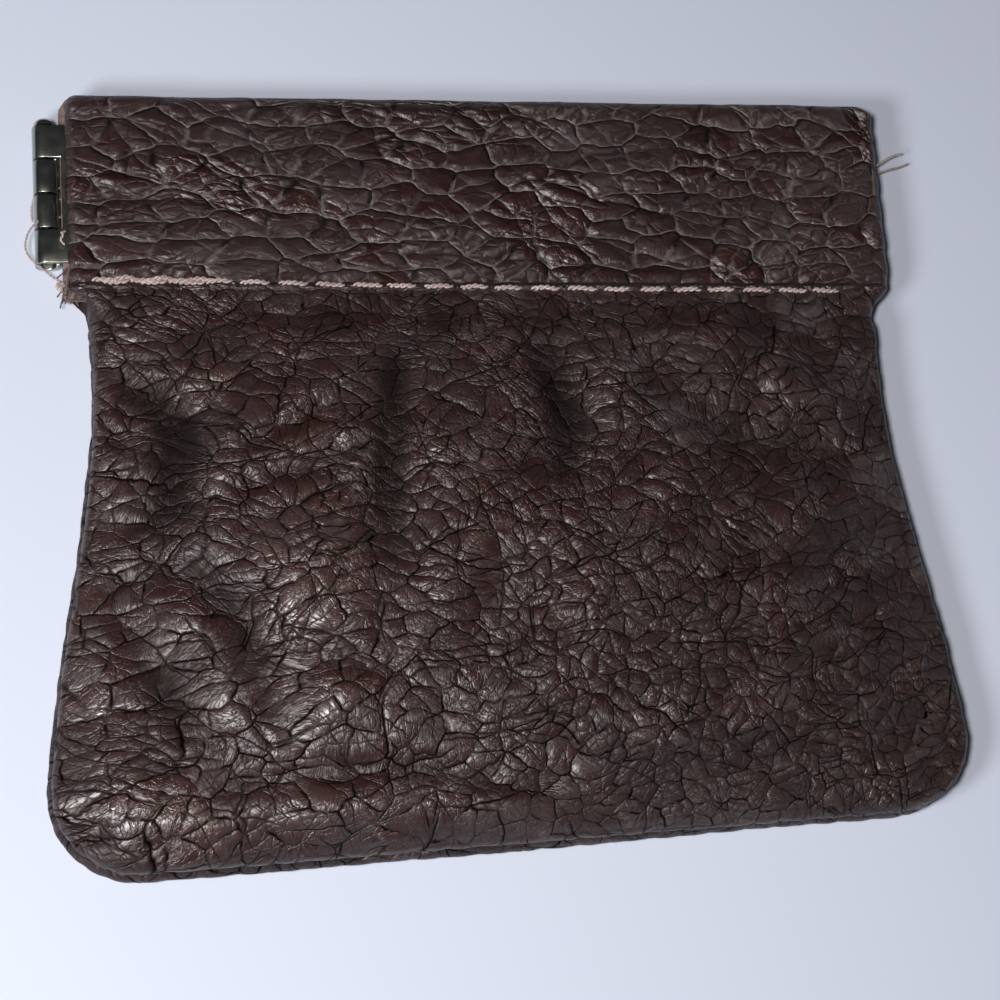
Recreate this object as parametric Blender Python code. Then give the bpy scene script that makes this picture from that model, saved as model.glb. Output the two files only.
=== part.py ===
"""Leather squeeze coin purse on an internal spring frame, lying on its back.

Run with: blender --background --python part.py

X runs to the right along the mouth, Y up to the mouth and Z up from the table. The origin is under the
middle of the purse, on the table. Each leather panel is one sheet that is folded inwards at the mouth
and stitched down as a casing. Two spring strips lie in the casings, with rolled knuckles at their ends
and a pin through each pair. Squeezing the ends bows the strips apart and opens the mouth.
"""

import math

import bmesh
import bpy
import numpy as np

MM = 0.001

# Spring frame.
FRAME_LENGTH = 88.9 * MM        # over the knuckles, a three and a half inch frame
FRAME_SHIFT = 1.65 * MM         # the frame has slid this far to the left in its casing
STRIP_WIDTH = 15.0 * MM
STRIP_THICKNESS = 0.4 * MM
MIDDLE_GAP = 0.3 * MM           # between the two rigid halves that stand for one bending strip
KNUCKLE_GAP = 0.27 * MM         # between neighbouring knuckles, along the pin
LEAF_CLEARANCE = 0.3 * MM       # from a leaf's shoulder to the other strip's knuckle
PIN_DIAMETER = 1.2 * MM
PIN_CLEARANCE = 0.25 * MM
PIN_RECESS = 0.5 * MM           # the pin's plain end stops inside the lowest knuckle
HEAD_DIAMETER = 2.1 * MM
HEAD_HEIGHT = 0.9 * MM
HEAD_GAP = 0.2 * MM             # under the head
KNUCKLES = 4
ROLL_DEGREES = 285.0

# Leather.
OVERALL_HEIGHT = 80.6 * MM      # fold of the mouth to the bottom seam, at the seam's lower end
BAND_UNDER_FRAME = 3.1 * MM     # the band along the mouth is this much shorter than the frame
NECK_UNDER_BAND = 4.4 * MM      # the narrowest place, just under the band, against the band
BOTTOM_WIDTH = 93.2 * MM
CORNER_RADIUS = 9.0 * MM        # bottom corners
BOTTOM_RISE = 3.8 * MM          # the bottom seam climbs this much from its left end to its right end
LEATHER = 1.0 * MM
HEM_LEATHER = 0.5 * MM          # skived where it is turned in
EDGE_RADIUS = 1.9 * MM          # roll of the turned side and bottom edges
SEAM_GAP = 0.3 * MM             # between the two panels' turned edges
HEM_GAP = 0.2 * MM              # between the two hems
CASING_CLEARANCE = 0.25 * MM    # from a strip to the leather on each side of it
HEM_END_CLEARANCE = 0.35 * MM   # from a hem's end to the knuckles
STRIP_TOP_MARGIN = 3.1 * MM     # fold of the mouth to the strip's edge
STRIP_TO_STITCH = 2.7 * MM      # strip's other edge to the stitch line
HEM_BELOW_STITCH = 0.9 * MM
FOLD_TUCK = 0.8 * MM            # the fold's ends are drawn in this much at each corner of the mouth
STITCH_DIP = 0.55 * MM          # the stitch line pulls the leather down this much
STITCH_DIP_WIDTH = 1.1 * MM
CURL_START = 1.5 * MM           # below the stitch line, where the side edges begin to turn in
CURL_LENGTH = 5.0 * MM
FRONT_CROWN = 8.0 * MM          # outer leather above the parting plane, at the fullest place
BACK_CROWN = 3.5 * MM           # the same behind, before the table flattens it
FOLD_FADE = 4.3 * MM            # in from the edges, where the front panel's soft folds come to full depth
FOLD_END_SHARE = 0.35           # of a soft fold's depth, left at each end of its path

# Main soft folds of the front panel: the path, the depth and the half width of each. A path's places are
# shares of half the bottom's width, from the middle, and of the height from the bottom seam to the stitch
# line. A bulge has a negative depth.
SOFT_FOLDS = (
    (((-0.83, 0.83), (-0.74, 0.79), (-0.70, 0.72), (-0.71, 0.64), (-0.76, 0.55)), 1.3 * MM, 2.4 * MM),
    (((-0.78, 0.49), (-0.67, 0.48), (-0.60, 0.42), (-0.56, 0.35), (-0.54, 0.26)), 0.9 * MM, 2.2 * MM),
    (((-0.77, 0.85), (-0.65, 0.83), (-0.56, 0.80)), -0.6 * MM, 3.0 * MM),
    (((-0.47, 0.58), (-0.44, 0.50), (-0.45, 0.38)), -1.4 * MM, 5.0 * MM),
    (((-0.21, 0.94), (-0.24, 0.78), (-0.27, 0.60), (-0.26, 0.49)), 1.2 * MM, 2.3 * MM),
    (((0.05, 0.95), (0.10, 0.87), (0.14, 0.74), (0.11, 0.62)), 1.3 * MM, 2.4 * MM),
    (((0.24, 0.89), (0.27, 0.74)), -0.5 * MM, 3.2 * MM),
    (((0.54, 0.89), (0.63, 0.83), (0.71, 0.77)), -0.9 * MM, 3.0 * MM),
    (((0.36, 0.81), (0.43, 0.74), (0.56, 0.69), (0.75, 0.70)), 0.7 * MM, 2.7 * MM),
    (((-0.82, 0.43), (-0.78, 0.34), (-0.71, 0.24), (-0.60, 0.16)), 0.8 * MM, 2.4 * MM),
    (((-0.45, 0.26), (-0.35, 0.25)), -0.8 * MM, 3.4 * MM),
    (((-0.89, 0.37), (-0.90, 0.21), (-0.82, 0.10), (-0.65, 0.06), (-0.42, 0.075), (0.13, 0.08)),
     -0.8 * MM, 3.0 * MM),
)

# Half widths between the neck, 0, and the bottom, 1, at even steps from the stitch line downwards.
FLARE_SHARES = (0.10, 0.00, 0.05, 0.24, 0.50, 0.74, 0.91, 1.00)
# Places of the grid lines across a turned edge, from its rim to the end of its roll.
ROLL_SHARES = (0.0, 0.12, 0.37, 0.68, 1.0)
# Places of the grid lines on both sides of the stitch line.
DIP_SHARES = (2.0, 1.1, 0.5, 0.0, -0.5, -1.1, -2.0)
BAND_SHARES = (0.0, 0.3, 0.62)
BELLY_WIDTH_POWER = 2.6
BELLY_HEIGHT_SKEW = 0.85
BELLY_HEIGHT_POWER = 0.7
FRONT_COLUMNS = 21
BACK_COLUMNS = 13
FRONT_ROWS = 18
BACK_ROWS = 12
CORNER_STEPS = 3
FOLD_STEPS = 8
ROLL_STEPS = 14
LEAF_STEPS = 5
PIN_STEPS = 16
HEAD_STEPS = 4

# Worked out from the sizes above. Heights called z are above the parting plane, out from the pocket.
# The purse lies on its back casing, so the parting plane is BACK_DEPTH above the table.
BAND_HEIGHT = STRIP_TOP_MARGIN + STRIP_WIDTH + STRIP_TO_STITCH
STITCH_Y = OVERALL_HEIGHT - BAND_HEIGHT
BAND_WIDTH = FRAME_LENGTH - BAND_UNDER_FRAME
NECK_WIDTH = BAND_WIDTH - NECK_UNDER_BAND
PIN_RADIUS = PIN_DIAMETER / 2
BORE_RADIUS = max(PIN_RADIUS + PIN_CLEARANCE, HEM_GAP / 2 + HEM_LEATHER + CASING_CLEARANCE)
KNUCKLE_RADIUS = BORE_RADIUS + STRIP_THICKNESS
HEM_GRAIN_Z = BORE_RADIUS - CASING_CLEARANCE - HEM_LEATHER
BAND_GRAIN_Z = KNUCKLE_RADIUS + CASING_CLEARANCE + LEATHER
BACK_DEPTH = BAND_GRAIN_Z
FOLD_RADIUS = (BAND_GRAIN_Z - HEM_GRAIN_Z) / 2
FOLD_Y = OVERALL_HEIGHT - FOLD_RADIUS
SEAM_Z = SEAM_GAP / 2
PIN_SPACING = FRAME_LENGTH - 2 * KNUCKLE_RADIUS
STRIP_TOP_Y = OVERALL_HEIGHT - STRIP_TOP_MARGIN
STRIP_BOTTOM_Y = STRIP_TOP_Y - STRIP_WIDTH
KNUCKLE_LENGTH = (STRIP_WIDTH - (KNUCKLES - 1) * KNUCKLE_GAP) / KNUCKLES
HALF_BOTTOM = BOTTOM_WIDTH / 2
HALF_NECK = NECK_WIDTH / 2
HALF_BAND = BAND_WIDTH / 2

FRONT = 1
BACK = -1
LEFT = -1
RIGHT = 1


def pin_x(end):
    """X of the pin at one end of the frame."""
    return end * PIN_SPACING / 2 - FRAME_SHIFT


def clear_scene():
    """Removes whatever the file holds."""
    for obj in list(bpy.data.objects):
        bpy.data.objects.remove(obj, do_unlink=True)


def finish_material(name, colour, roughness, metallic):
    """A Principled material of one colour."""
    material = bpy.data.materials.new(name)
    material.use_nodes = True
    shader = material.node_tree.nodes["Principled BSDF"]
    shader.inputs["Base Color"].default_value = (*colour, 1.0)
    shader.inputs["Roughness"].default_value = roughness
    shader.inputs["Metallic"].default_value = metallic
    return material


def smooth(share):
    """Runs from 0 to 1 with no slope at either end."""
    share = np.clip(share, 0.0, 1.0)
    return share * share * (3.0 - 2.0 * share)


def half_width(y):
    """Half the panel's width at a height up the panel."""
    stations = np.linspace(0.0, 1.0, len(FLARE_SHARES))
    widths = HALF_NECK + (HALF_BOTTOM - HALF_NECK) * np.array(FLARE_SHARES)
    fine = np.linspace(0.0, 1.0, 8 * len(FLARE_SHARES))
    coarse = np.interp(fine, stations, widths)
    padded = np.pad(coarse, 4, mode="edge")
    eased = np.convolve(padded, np.ones(9) / 9, mode="valid")
    body = np.interp((STITCH_Y - y) / STITCH_Y, fine, eased)
    return body + (HALF_BAND - body) * smooth((y - STITCH_Y) / (2 * STITCH_DIP_WIDTH) + 1)


def rounded_corner(across, down):
    """Bends the square corner of the grid to a quarter circle, ring by ring, so that the distance from
    the edge is kept. Both arguments are measured from the centre of the corner's arc."""
    if across <= 0 or down <= 0:
        return across, down
    ring = max(across, down)
    quarter = math.pi / 4
    turn = quarter * down / across if across >= down else 2 * quarter - quarter * across / down
    return ring * math.cos(turn), ring * math.sin(turn)


def sheet_place(column_x, row_y):
    """Where a grid line's crossing lies on the flat, sewn-up panel."""
    side = 1 if column_x >= 0 else -1
    inner_x = HALF_BOTTOM - CORNER_RADIUS
    across, down = rounded_corner(abs(column_x) - inner_x, CORNER_RADIUS - row_y)
    x = side * (inner_x + across)
    y = CORNER_RADIUS - down
    x *= half_width(y) / HALF_BOTTOM
    climb = BOTTOM_RISE * min(max((x + inner_x) / (2 * inner_x), 0.0), 1.0)
    return x, y + climb * max(0.0, 1 - y / STITCH_Y)


def distance_to_path(x, y, path):
    """How far a place is from a path of straight runs, and the share of the path's length there."""
    runs = [math.dist(start, end) for start, end in zip(path, path[1:])]
    best, share, done = math.inf, 0.0, 0.0
    for (x1, y1), (x2, y2), run in zip(path, path[1:], runs):
        along = min(max(((x - x1) * (x2 - x1) + (y - y1) * (y2 - y1)) / run, 0.0), run)
        gap = math.dist((x, y), (x1 + (x2 - x1) * along / run, y1 + (y2 - y1) * along / run))
        if gap < best:
            best, share = gap, (done + along) / sum(runs)
        done += run
    return best, share


def soft_folds_z(x, y):
    """Change of the front panel's height at a place, from all its soft folds."""
    height = 0.0
    for path, depth, width in SOFT_FOLDS:
        gap, share = distance_to_path(x, y, [(u * HALF_BOTTOM, v * STITCH_Y) for u, v in path])
        fade = FOLD_END_SHARE + (1 - FOLD_END_SHARE) * math.sin(math.pi * share) ** 0.6
        height -= depth * fade * math.exp(-(gap / width) ** 2)
    return height


def belly_z(column_x, row_y, face):
    """Height of the outer leather on the body, from its rolled edge to its crown."""
    from_edge = min(HALF_BOTTOM - abs(column_x), row_y)
    along_roll = min(from_edge / EDGE_RADIUS, 1.0)
    rim = EDGE_RADIUS * math.sqrt(1 - (1 - along_roll) ** 2)
    across = 1 - (abs(column_x) / HALF_BOTTOM) ** BELLY_WIDTH_POWER
    up = min(max(row_y / STITCH_Y, 0.0), 1.0)
    along = math.sin(math.pi * up ** BELLY_HEIGHT_SKEW) ** BELLY_HEIGHT_POWER
    crown = FRONT_CROWN if face == FRONT else BACK_CROWN
    z = SEAM_Z + rim + (crown - SEAM_Z - EDGE_RADIUS) * across * along
    return z if face == FRONT else min(z, BACK_DEPTH)


def skin_z(column_x, row_y, face):
    """Height of the outer leather anywhere below the fold."""
    from_stitch = (row_y - STITCH_Y) / STITCH_DIP_WIDTH
    band = BAND_GRAIN_Z - STITCH_DIP * math.exp(-from_stitch ** 2)
    if row_y >= STITCH_Y:
        return band
    curl = float(smooth((STITCH_Y - CURL_START - row_y) / CURL_LENGTH))
    return band + (belly_z(column_x, row_y, face) - band) * curl


def edge_distances():
    """Distances from the panel's edge of the grid lines on its rolled edge and round its corners."""
    roll = [EDGE_RADIUS * share for share in ROLL_SHARES]
    return roll + list(np.linspace(EDGE_RADIUS, CORNER_RADIUS, CORNER_STEPS + 1)[1:])


def grid_columns(face):
    """Grid lines across the panel: close together on the rolled edges, even between them."""
    edge = [HALF_BOTTOM - distance for distance in edge_distances()]
    columns = FRONT_COLUMNS if face == FRONT else BACK_COLUMNS
    inner = np.linspace(-edge[-1], edge[-1], columns + 2)[1:-1]
    return [-x for x in edge] + list(inner) + edge[::-1]


def hem_row(columns, row_y):
    """One line of the turned-in hem, which stops short of the knuckles at the right."""
    left = -HALF_BAND
    right = min(HALF_BAND, pin_x(RIGHT) - KNUCKLE_RADIUS - HEM_END_CLEARANCE)
    shares = [(x + HALF_BOTTOM) / BOTTOM_WIDTH for x in columns]
    return [(left + (right - left) * share, row_y, HEM_GRAIN_Z) for share in shares]


def fold_row(columns, turn):
    """One line of the fold at the mouth, from the hem, -90 degrees, to the band, 90 degrees."""
    hem = hem_row(columns, FOLD_Y)
    out = (1 + math.sin(turn)) / 2
    tuck = 1 - FOLD_TUCK * math.cos(turn) / HALF_BAND
    y = FOLD_Y + FOLD_RADIUS * math.cos(turn)
    z = HEM_GRAIN_Z + FOLD_RADIUS * (1 + math.sin(turn))
    row = []
    for column, (hem_x, _, _) in zip(columns, hem):
        band_x = column * HALF_BAND / HALF_BOTTOM
        row.append(((hem_x + (band_x - hem_x) * out) * tuck, y, z))
    return row


def skin_row(columns, row_y, face):
    """One line of the outer leather below the fold."""
    row = []
    for column in columns:
        x, y = sheet_place(column, row_y)
        z = skin_z(column, row_y, face)
        if face == FRONT:
            from_edge = min(HALF_BOTTOM - abs(column), row_y)
            body = smooth((STITCH_Y - CURL_START - row_y) / (2 * CURL_LENGTH))
            z += soft_folds_z(x, y) * float(smooth(from_edge / FOLD_FADE) * body)
        row.append((x, y, z))
    return row


def panel_grid(face):
    """Rows of grain-side points, from the hem's end over the fold and down to the bottom seam, with the
    leather's thickness at each row."""
    columns = grid_columns(face)
    body_rows = FRONT_ROWS if face == FRONT else BACK_ROWS
    rows = []
    hem_end = STITCH_Y - HEM_BELOW_STITCH
    for share in (0.0, 0.2, 0.6):
        rows.append((hem_row(columns, hem_end + (FOLD_Y - hem_end) * share), HEM_LEATHER))
    for step in range(FOLD_STEPS + 1):
        share = step / FOLD_STEPS
        turn = math.pi * (share - 0.5)
        rows.append((fold_row(columns, turn), HEM_LEATHER + (LEATHER - HEM_LEATHER) * share))
    dip = [STITCH_Y + share * STITCH_DIP_WIDTH for share in DIP_SHARES]
    heights = [FOLD_Y + (dip[0] - FOLD_Y) * share for share in BAND_SHARES[1:]] + dip
    heights += list(np.linspace(dip[-1], CORNER_RADIUS, body_rows)[1:-1]) + edge_distances()[::-1]
    for height in heights:
        rows.append((skin_row(columns, height, face), LEATHER))
    return rows


def closed_sheet(mesh_name, rows, lowest):
    """A sheet of leather as one closed solid: the grain side, the flesh side under it and the walls round
    the rim. No point of the flesh side lies under the lowest height."""
    bm = bmesh.new()
    grain = [[bm.verts.new(point) for point in row] for row, _ in rows]
    across = len(grain[0]) - 1
    down = len(grain) - 1
    for i in range(down):
        for j in range(across):
            bm.faces.new((grain[i][j], grain[i + 1][j], grain[i + 1][j + 1], grain[i][j + 1]))
    bm.normal_update()
    flesh = []
    for line, (_, thickness) in zip(grain, rows):
        points = [vert.co - vert.normal * thickness for vert in line]
        flesh.append([(p.x, p.y, max(p.z, lowest)) for p in points])
    under = [[bm.verts.new(point) for point in line] for line in flesh]
    for i in range(down):
        for j in range(across):
            bm.faces.new((under[i][j], under[i][j + 1], under[i + 1][j + 1], under[i + 1][j]))
    rim = [(0, j) for j in range(across)] + [(i, across) for i in range(down)]
    rim += [(down, j) for j in range(across, 0, -1)] + [(i, 0) for i in range(down, 0, -1)]
    for (i, j), (k, m) in zip(rim, rim[1:] + rim[:1]):
        bm.faces.new((grain[i][j], grain[k][m], under[k][m], under[i][j]))
    bmesh.ops.recalc_face_normals(bm, faces=bm.faces)
    mesh = bpy.data.meshes.new(mesh_name)
    bm.to_mesh(mesh)
    bm.free()
    return mesh


def knuckle_spans(face):
    """Stretches along the pin, up from the strip's lower edge, that hold this strip's own knuckles."""
    pitch = KNUCKLE_LENGTH + KNUCKLE_GAP
    own = (0, KNUCKLES - 1) if face == FRONT else range(1, KNUCKLES - 1)
    return [(index * pitch, index * pitch + KNUCKLE_LENGTH) for index in own]


def strip_lines(face):
    """Lines along the leaf, up from its lower edge: at every end of a knuckle and at its shoulders."""
    lines = {0.0, STRIP_WIDTH}
    for low, high in knuckle_spans(face):
        lines |= {low, high}
    return sorted(lines)


def strip_path():
    """Middle of the strip's thickness beside the left pin, seen along the pin: the leaf's end, the leaf
    and the rolled knuckle. Each place is (x from the pin, z)."""
    middle = BORE_RADIUS + STRIP_THICKNESS / 2
    shoulder = KNUCKLE_RADIUS + LEAF_CLEARANCE
    far = PIN_SPACING / 2 - MIDDLE_GAP / 2
    path = [(far + (shoulder - far) * step / LEAF_STEPS, middle) for step in range(LEAF_STEPS + 1)]
    for step in range(ROLL_STEPS + 1):
        turn = math.pi / 2 + math.radians(ROLL_DEGREES) * step / ROLL_STEPS
        path.append((middle * math.cos(turn), middle * math.sin(turn)))
    return path


def strip_half(name, face, end, material):
    """Half of a spring strip with its rolled knuckles, as one bent ribbon with a thickness."""
    path = strip_path()
    lines = strip_lines(face)
    spans = knuckle_spans(face)
    bm = bmesh.new()
    verts = {}

    def vert(i, j):
        """The ribbon's point on one station of the path and one line along the leaf."""
        if (i, j) not in verts:
            x, z = path[i]
            verts[i, j] = bm.verts.new((x, lines[j], z))
        return verts[i, j]

    for i in range(len(path) - 1):
        for j in range(len(lines) - 1):
            centre = (lines[j] + lines[j + 1]) / 2
            if i < LEAF_STEPS or any(low < centre < high for low, high in spans):
                bm.faces.new((vert(i, j), vert(i, j + 1), vert(i + 1, j + 1), vert(i + 1, j)))
    bmesh.ops.recalc_face_normals(bm, faces=bm.faces)
    for v in bm.verts:
        x = v.co.x if end == LEFT else -v.co.x
        v.co = (x, v.co.y, face * v.co.z)
    mesh = bpy.data.meshes.new(name)
    bm.to_mesh(mesh)
    bm.free()
    strip = bpy.data.objects.new(name, mesh)
    bpy.context.collection.objects.link(strip)
    wall = strip.modifiers.new("thickness", "SOLIDIFY")
    wall.thickness = STRIP_THICKNESS
    wall.offset = 0.0
    wall.use_even_offset = True
    strip.location = (pin_x(end), STRIP_BOTTOM_Y - OVERALL_HEIGHT / 2, BACK_DEPTH)
    mesh.materials.append(material)
    return strip


def leather_panel(name, face, material):
    """One folded leather panel, front or back."""
    mesh = closed_sheet(name, panel_grid(face), min(SEAM_Z, HEM_GRAIN_Z))
    if face == BACK:
        bm = bmesh.new()
        bm.from_mesh(mesh)
        bmesh.ops.scale(bm, vec=(1, 1, -1), verts=bm.verts)
        bmesh.ops.reverse_faces(bm, faces=bm.faces)
        bm.to_mesh(mesh)
        bm.free()
    mesh.shade_smooth()
    panel = bpy.data.objects.new(name, mesh)
    bpy.context.collection.objects.link(panel)
    panel.location = (0, -OVERALL_HEIGHT / 2, BACK_DEPTH)
    mesh.materials.append(material)
    return panel


def hinge_pin(name, end, material):
    """A pin turned about Y, with a domed head at the mouth and a plain end in the lowest knuckle."""
    seat = STRIP_WIDTH + HEAD_GAP
    head_radius = HEAD_DIAMETER / 2
    profile = [(0, PIN_RECESS), (PIN_RADIUS * 0.8, PIN_RECESS), (PIN_RADIUS, PIN_RECESS + PIN_RADIUS * 0.2)]
    profile += [(PIN_RADIUS, seat), (head_radius, seat)]
    for step in range(HEAD_STEPS + 1):
        turn = math.pi / 2 * step / HEAD_STEPS
        rise = seat + HEAD_HEIGHT * (0.2 + 0.8 * math.sin(turn))
        profile.append((head_radius * math.cos(turn) if step < HEAD_STEPS else 0, rise))
    bm = bmesh.new()
    line = [bm.verts.new((radius, y, 0)) for radius, y in profile]
    edges = [bm.edges.new(pair) for pair in zip(line, line[1:])]
    bmesh.ops.spin(bm, geom=line + edges, axis=(0, 1, 0), cent=(0, 0, 0), angle=2 * math.pi,
                   steps=PIN_STEPS, use_merge=True)
    bmesh.ops.remove_doubles(bm, verts=bm.verts, dist=PIN_CLEARANCE / 100)
    bmesh.ops.recalc_face_normals(bm, faces=bm.faces)
    mesh = bpy.data.meshes.new(name)
    bm.to_mesh(mesh)
    bm.free()
    mesh.shade_smooth()
    pin = bpy.data.objects.new(name, mesh)
    bpy.context.collection.objects.link(pin)
    pin.location = (pin_x(end), STRIP_BOTTOM_Y - OVERALL_HEIGHT / 2, BACK_DEPTH)
    mesh.materials.append(material)
    return pin


def main():
    clear_scene()
    leather = finish_material("dark_brown_leather", (0.055, 0.035, 0.03), 0.45, 0.0)
    steel = finish_material("plated_spring_steel", (0.33, 0.33, 0.29), 0.25, 1.0)
    leather_panel("front_panel", FRONT, leather)
    leather_panel("back_panel", BACK, leather)
    for face, face_name in ((FRONT, "front"), (BACK, "back")):
        for end, end_name in ((LEFT, "left"), (RIGHT, "right")):
            strip_half(f"{face_name}_strip_{end_name}", face, end, steel)
    for end, end_name in ((LEFT, "left"), (RIGHT, "right")):
        hinge_pin(f"{end_name}_hinge_pin", end, steel)


main()
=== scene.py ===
"""Looks of a leather squeeze coin purse on an internal spring frame, lying on its back.

X runs to the right along the mouth, Y up to the mouth and Z up from the table. Sizes are in metres but
where millimetres are named, and every piece lies where the frame has it. Heights called z in the
leather's own functions are above the parting plane, where the two panels meet, and out from the pocket.
"""

import logging
import math
from dataclasses import dataclass, field
from enum import Enum
from typing import Callable, Sequence

import bpy
import numpy as np
from mathutils.bvhtree import BVHTree
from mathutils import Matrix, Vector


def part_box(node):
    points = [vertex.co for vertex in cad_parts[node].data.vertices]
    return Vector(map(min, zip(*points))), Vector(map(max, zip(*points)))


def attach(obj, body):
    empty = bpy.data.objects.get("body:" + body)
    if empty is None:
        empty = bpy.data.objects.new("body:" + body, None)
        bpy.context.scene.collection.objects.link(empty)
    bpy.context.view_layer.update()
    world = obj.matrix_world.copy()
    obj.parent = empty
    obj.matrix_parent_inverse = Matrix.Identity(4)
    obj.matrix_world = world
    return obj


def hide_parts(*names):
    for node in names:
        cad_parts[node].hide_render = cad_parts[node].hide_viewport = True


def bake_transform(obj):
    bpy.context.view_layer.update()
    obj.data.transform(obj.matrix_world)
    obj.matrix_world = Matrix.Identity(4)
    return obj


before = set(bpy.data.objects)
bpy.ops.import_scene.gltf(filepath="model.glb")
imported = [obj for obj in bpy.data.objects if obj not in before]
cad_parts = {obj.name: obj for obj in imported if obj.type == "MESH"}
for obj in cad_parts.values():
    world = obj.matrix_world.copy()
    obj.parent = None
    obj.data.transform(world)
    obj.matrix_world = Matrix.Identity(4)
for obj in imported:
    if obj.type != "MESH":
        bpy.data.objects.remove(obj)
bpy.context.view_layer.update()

MM = 0.001

LOG = logging.getLogger("purse")

Socket = bpy.types.NodeSocket
Colour = tuple[float, float, float]
MID_GREY = (0.5, 0.5, 0.5)


class Face(Enum):
    """The side of the parting plane that a piece is on."""

    FRONT = 1
    BACK = -1


class End(Enum):
    """The end of the spring frame that a piece is at."""

    LEFT = -1
    RIGHT = 1


# Helpers for numbers.


def smooth(share: np.ndarray | float) -> np.ndarray:
    """Runs from 0 to 1 with no slope at either end."""
    share = np.clip(share, 0.0, 1.0)
    return share * share * (3.0 - 2.0 * share)


def hashed(count: int, seed: int) -> np.ndarray:
    """Even random numbers from 0 to 1, the same on every run."""
    return np.random.default_rng(seed).random(count)


def distance_to_path(x: np.ndarray, y: np.ndarray,
                     path: Sequence[tuple[float, float]]) -> tuple[np.ndarray, np.ndarray]:
    """How far points are from a path of straight runs.

    Args:
        x: X of each point.
        y: Y of each point.
        path: Corners of the path.

    Returns:
        The distance from the path, and the share of the path's length at the nearest place.
    """
    corners = np.array(path)
    runs = np.linalg.norm(np.diff(corners, axis=0), axis=1)
    before = np.concatenate([[0.0], np.cumsum(runs)])
    best = np.full(x.shape, np.inf)
    place = np.zeros(x.shape)
    for start, end, run, done in zip(corners[:-1], corners[1:], runs, before):
        way = (end - start) / run
        along = np.clip((x - start[0]) * way[0] + (y - start[1]) * way[1], 0.0, run)
        gap = np.hypot(x - start[0] - way[0] * along, y - start[1] - way[1] * along)
        nearer = gap < best
        best = np.where(nearer, gap, best)
        place = np.where(nearer, (done + along) / before[-1], place)
    return best, place


# Helpers for nodes.


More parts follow.
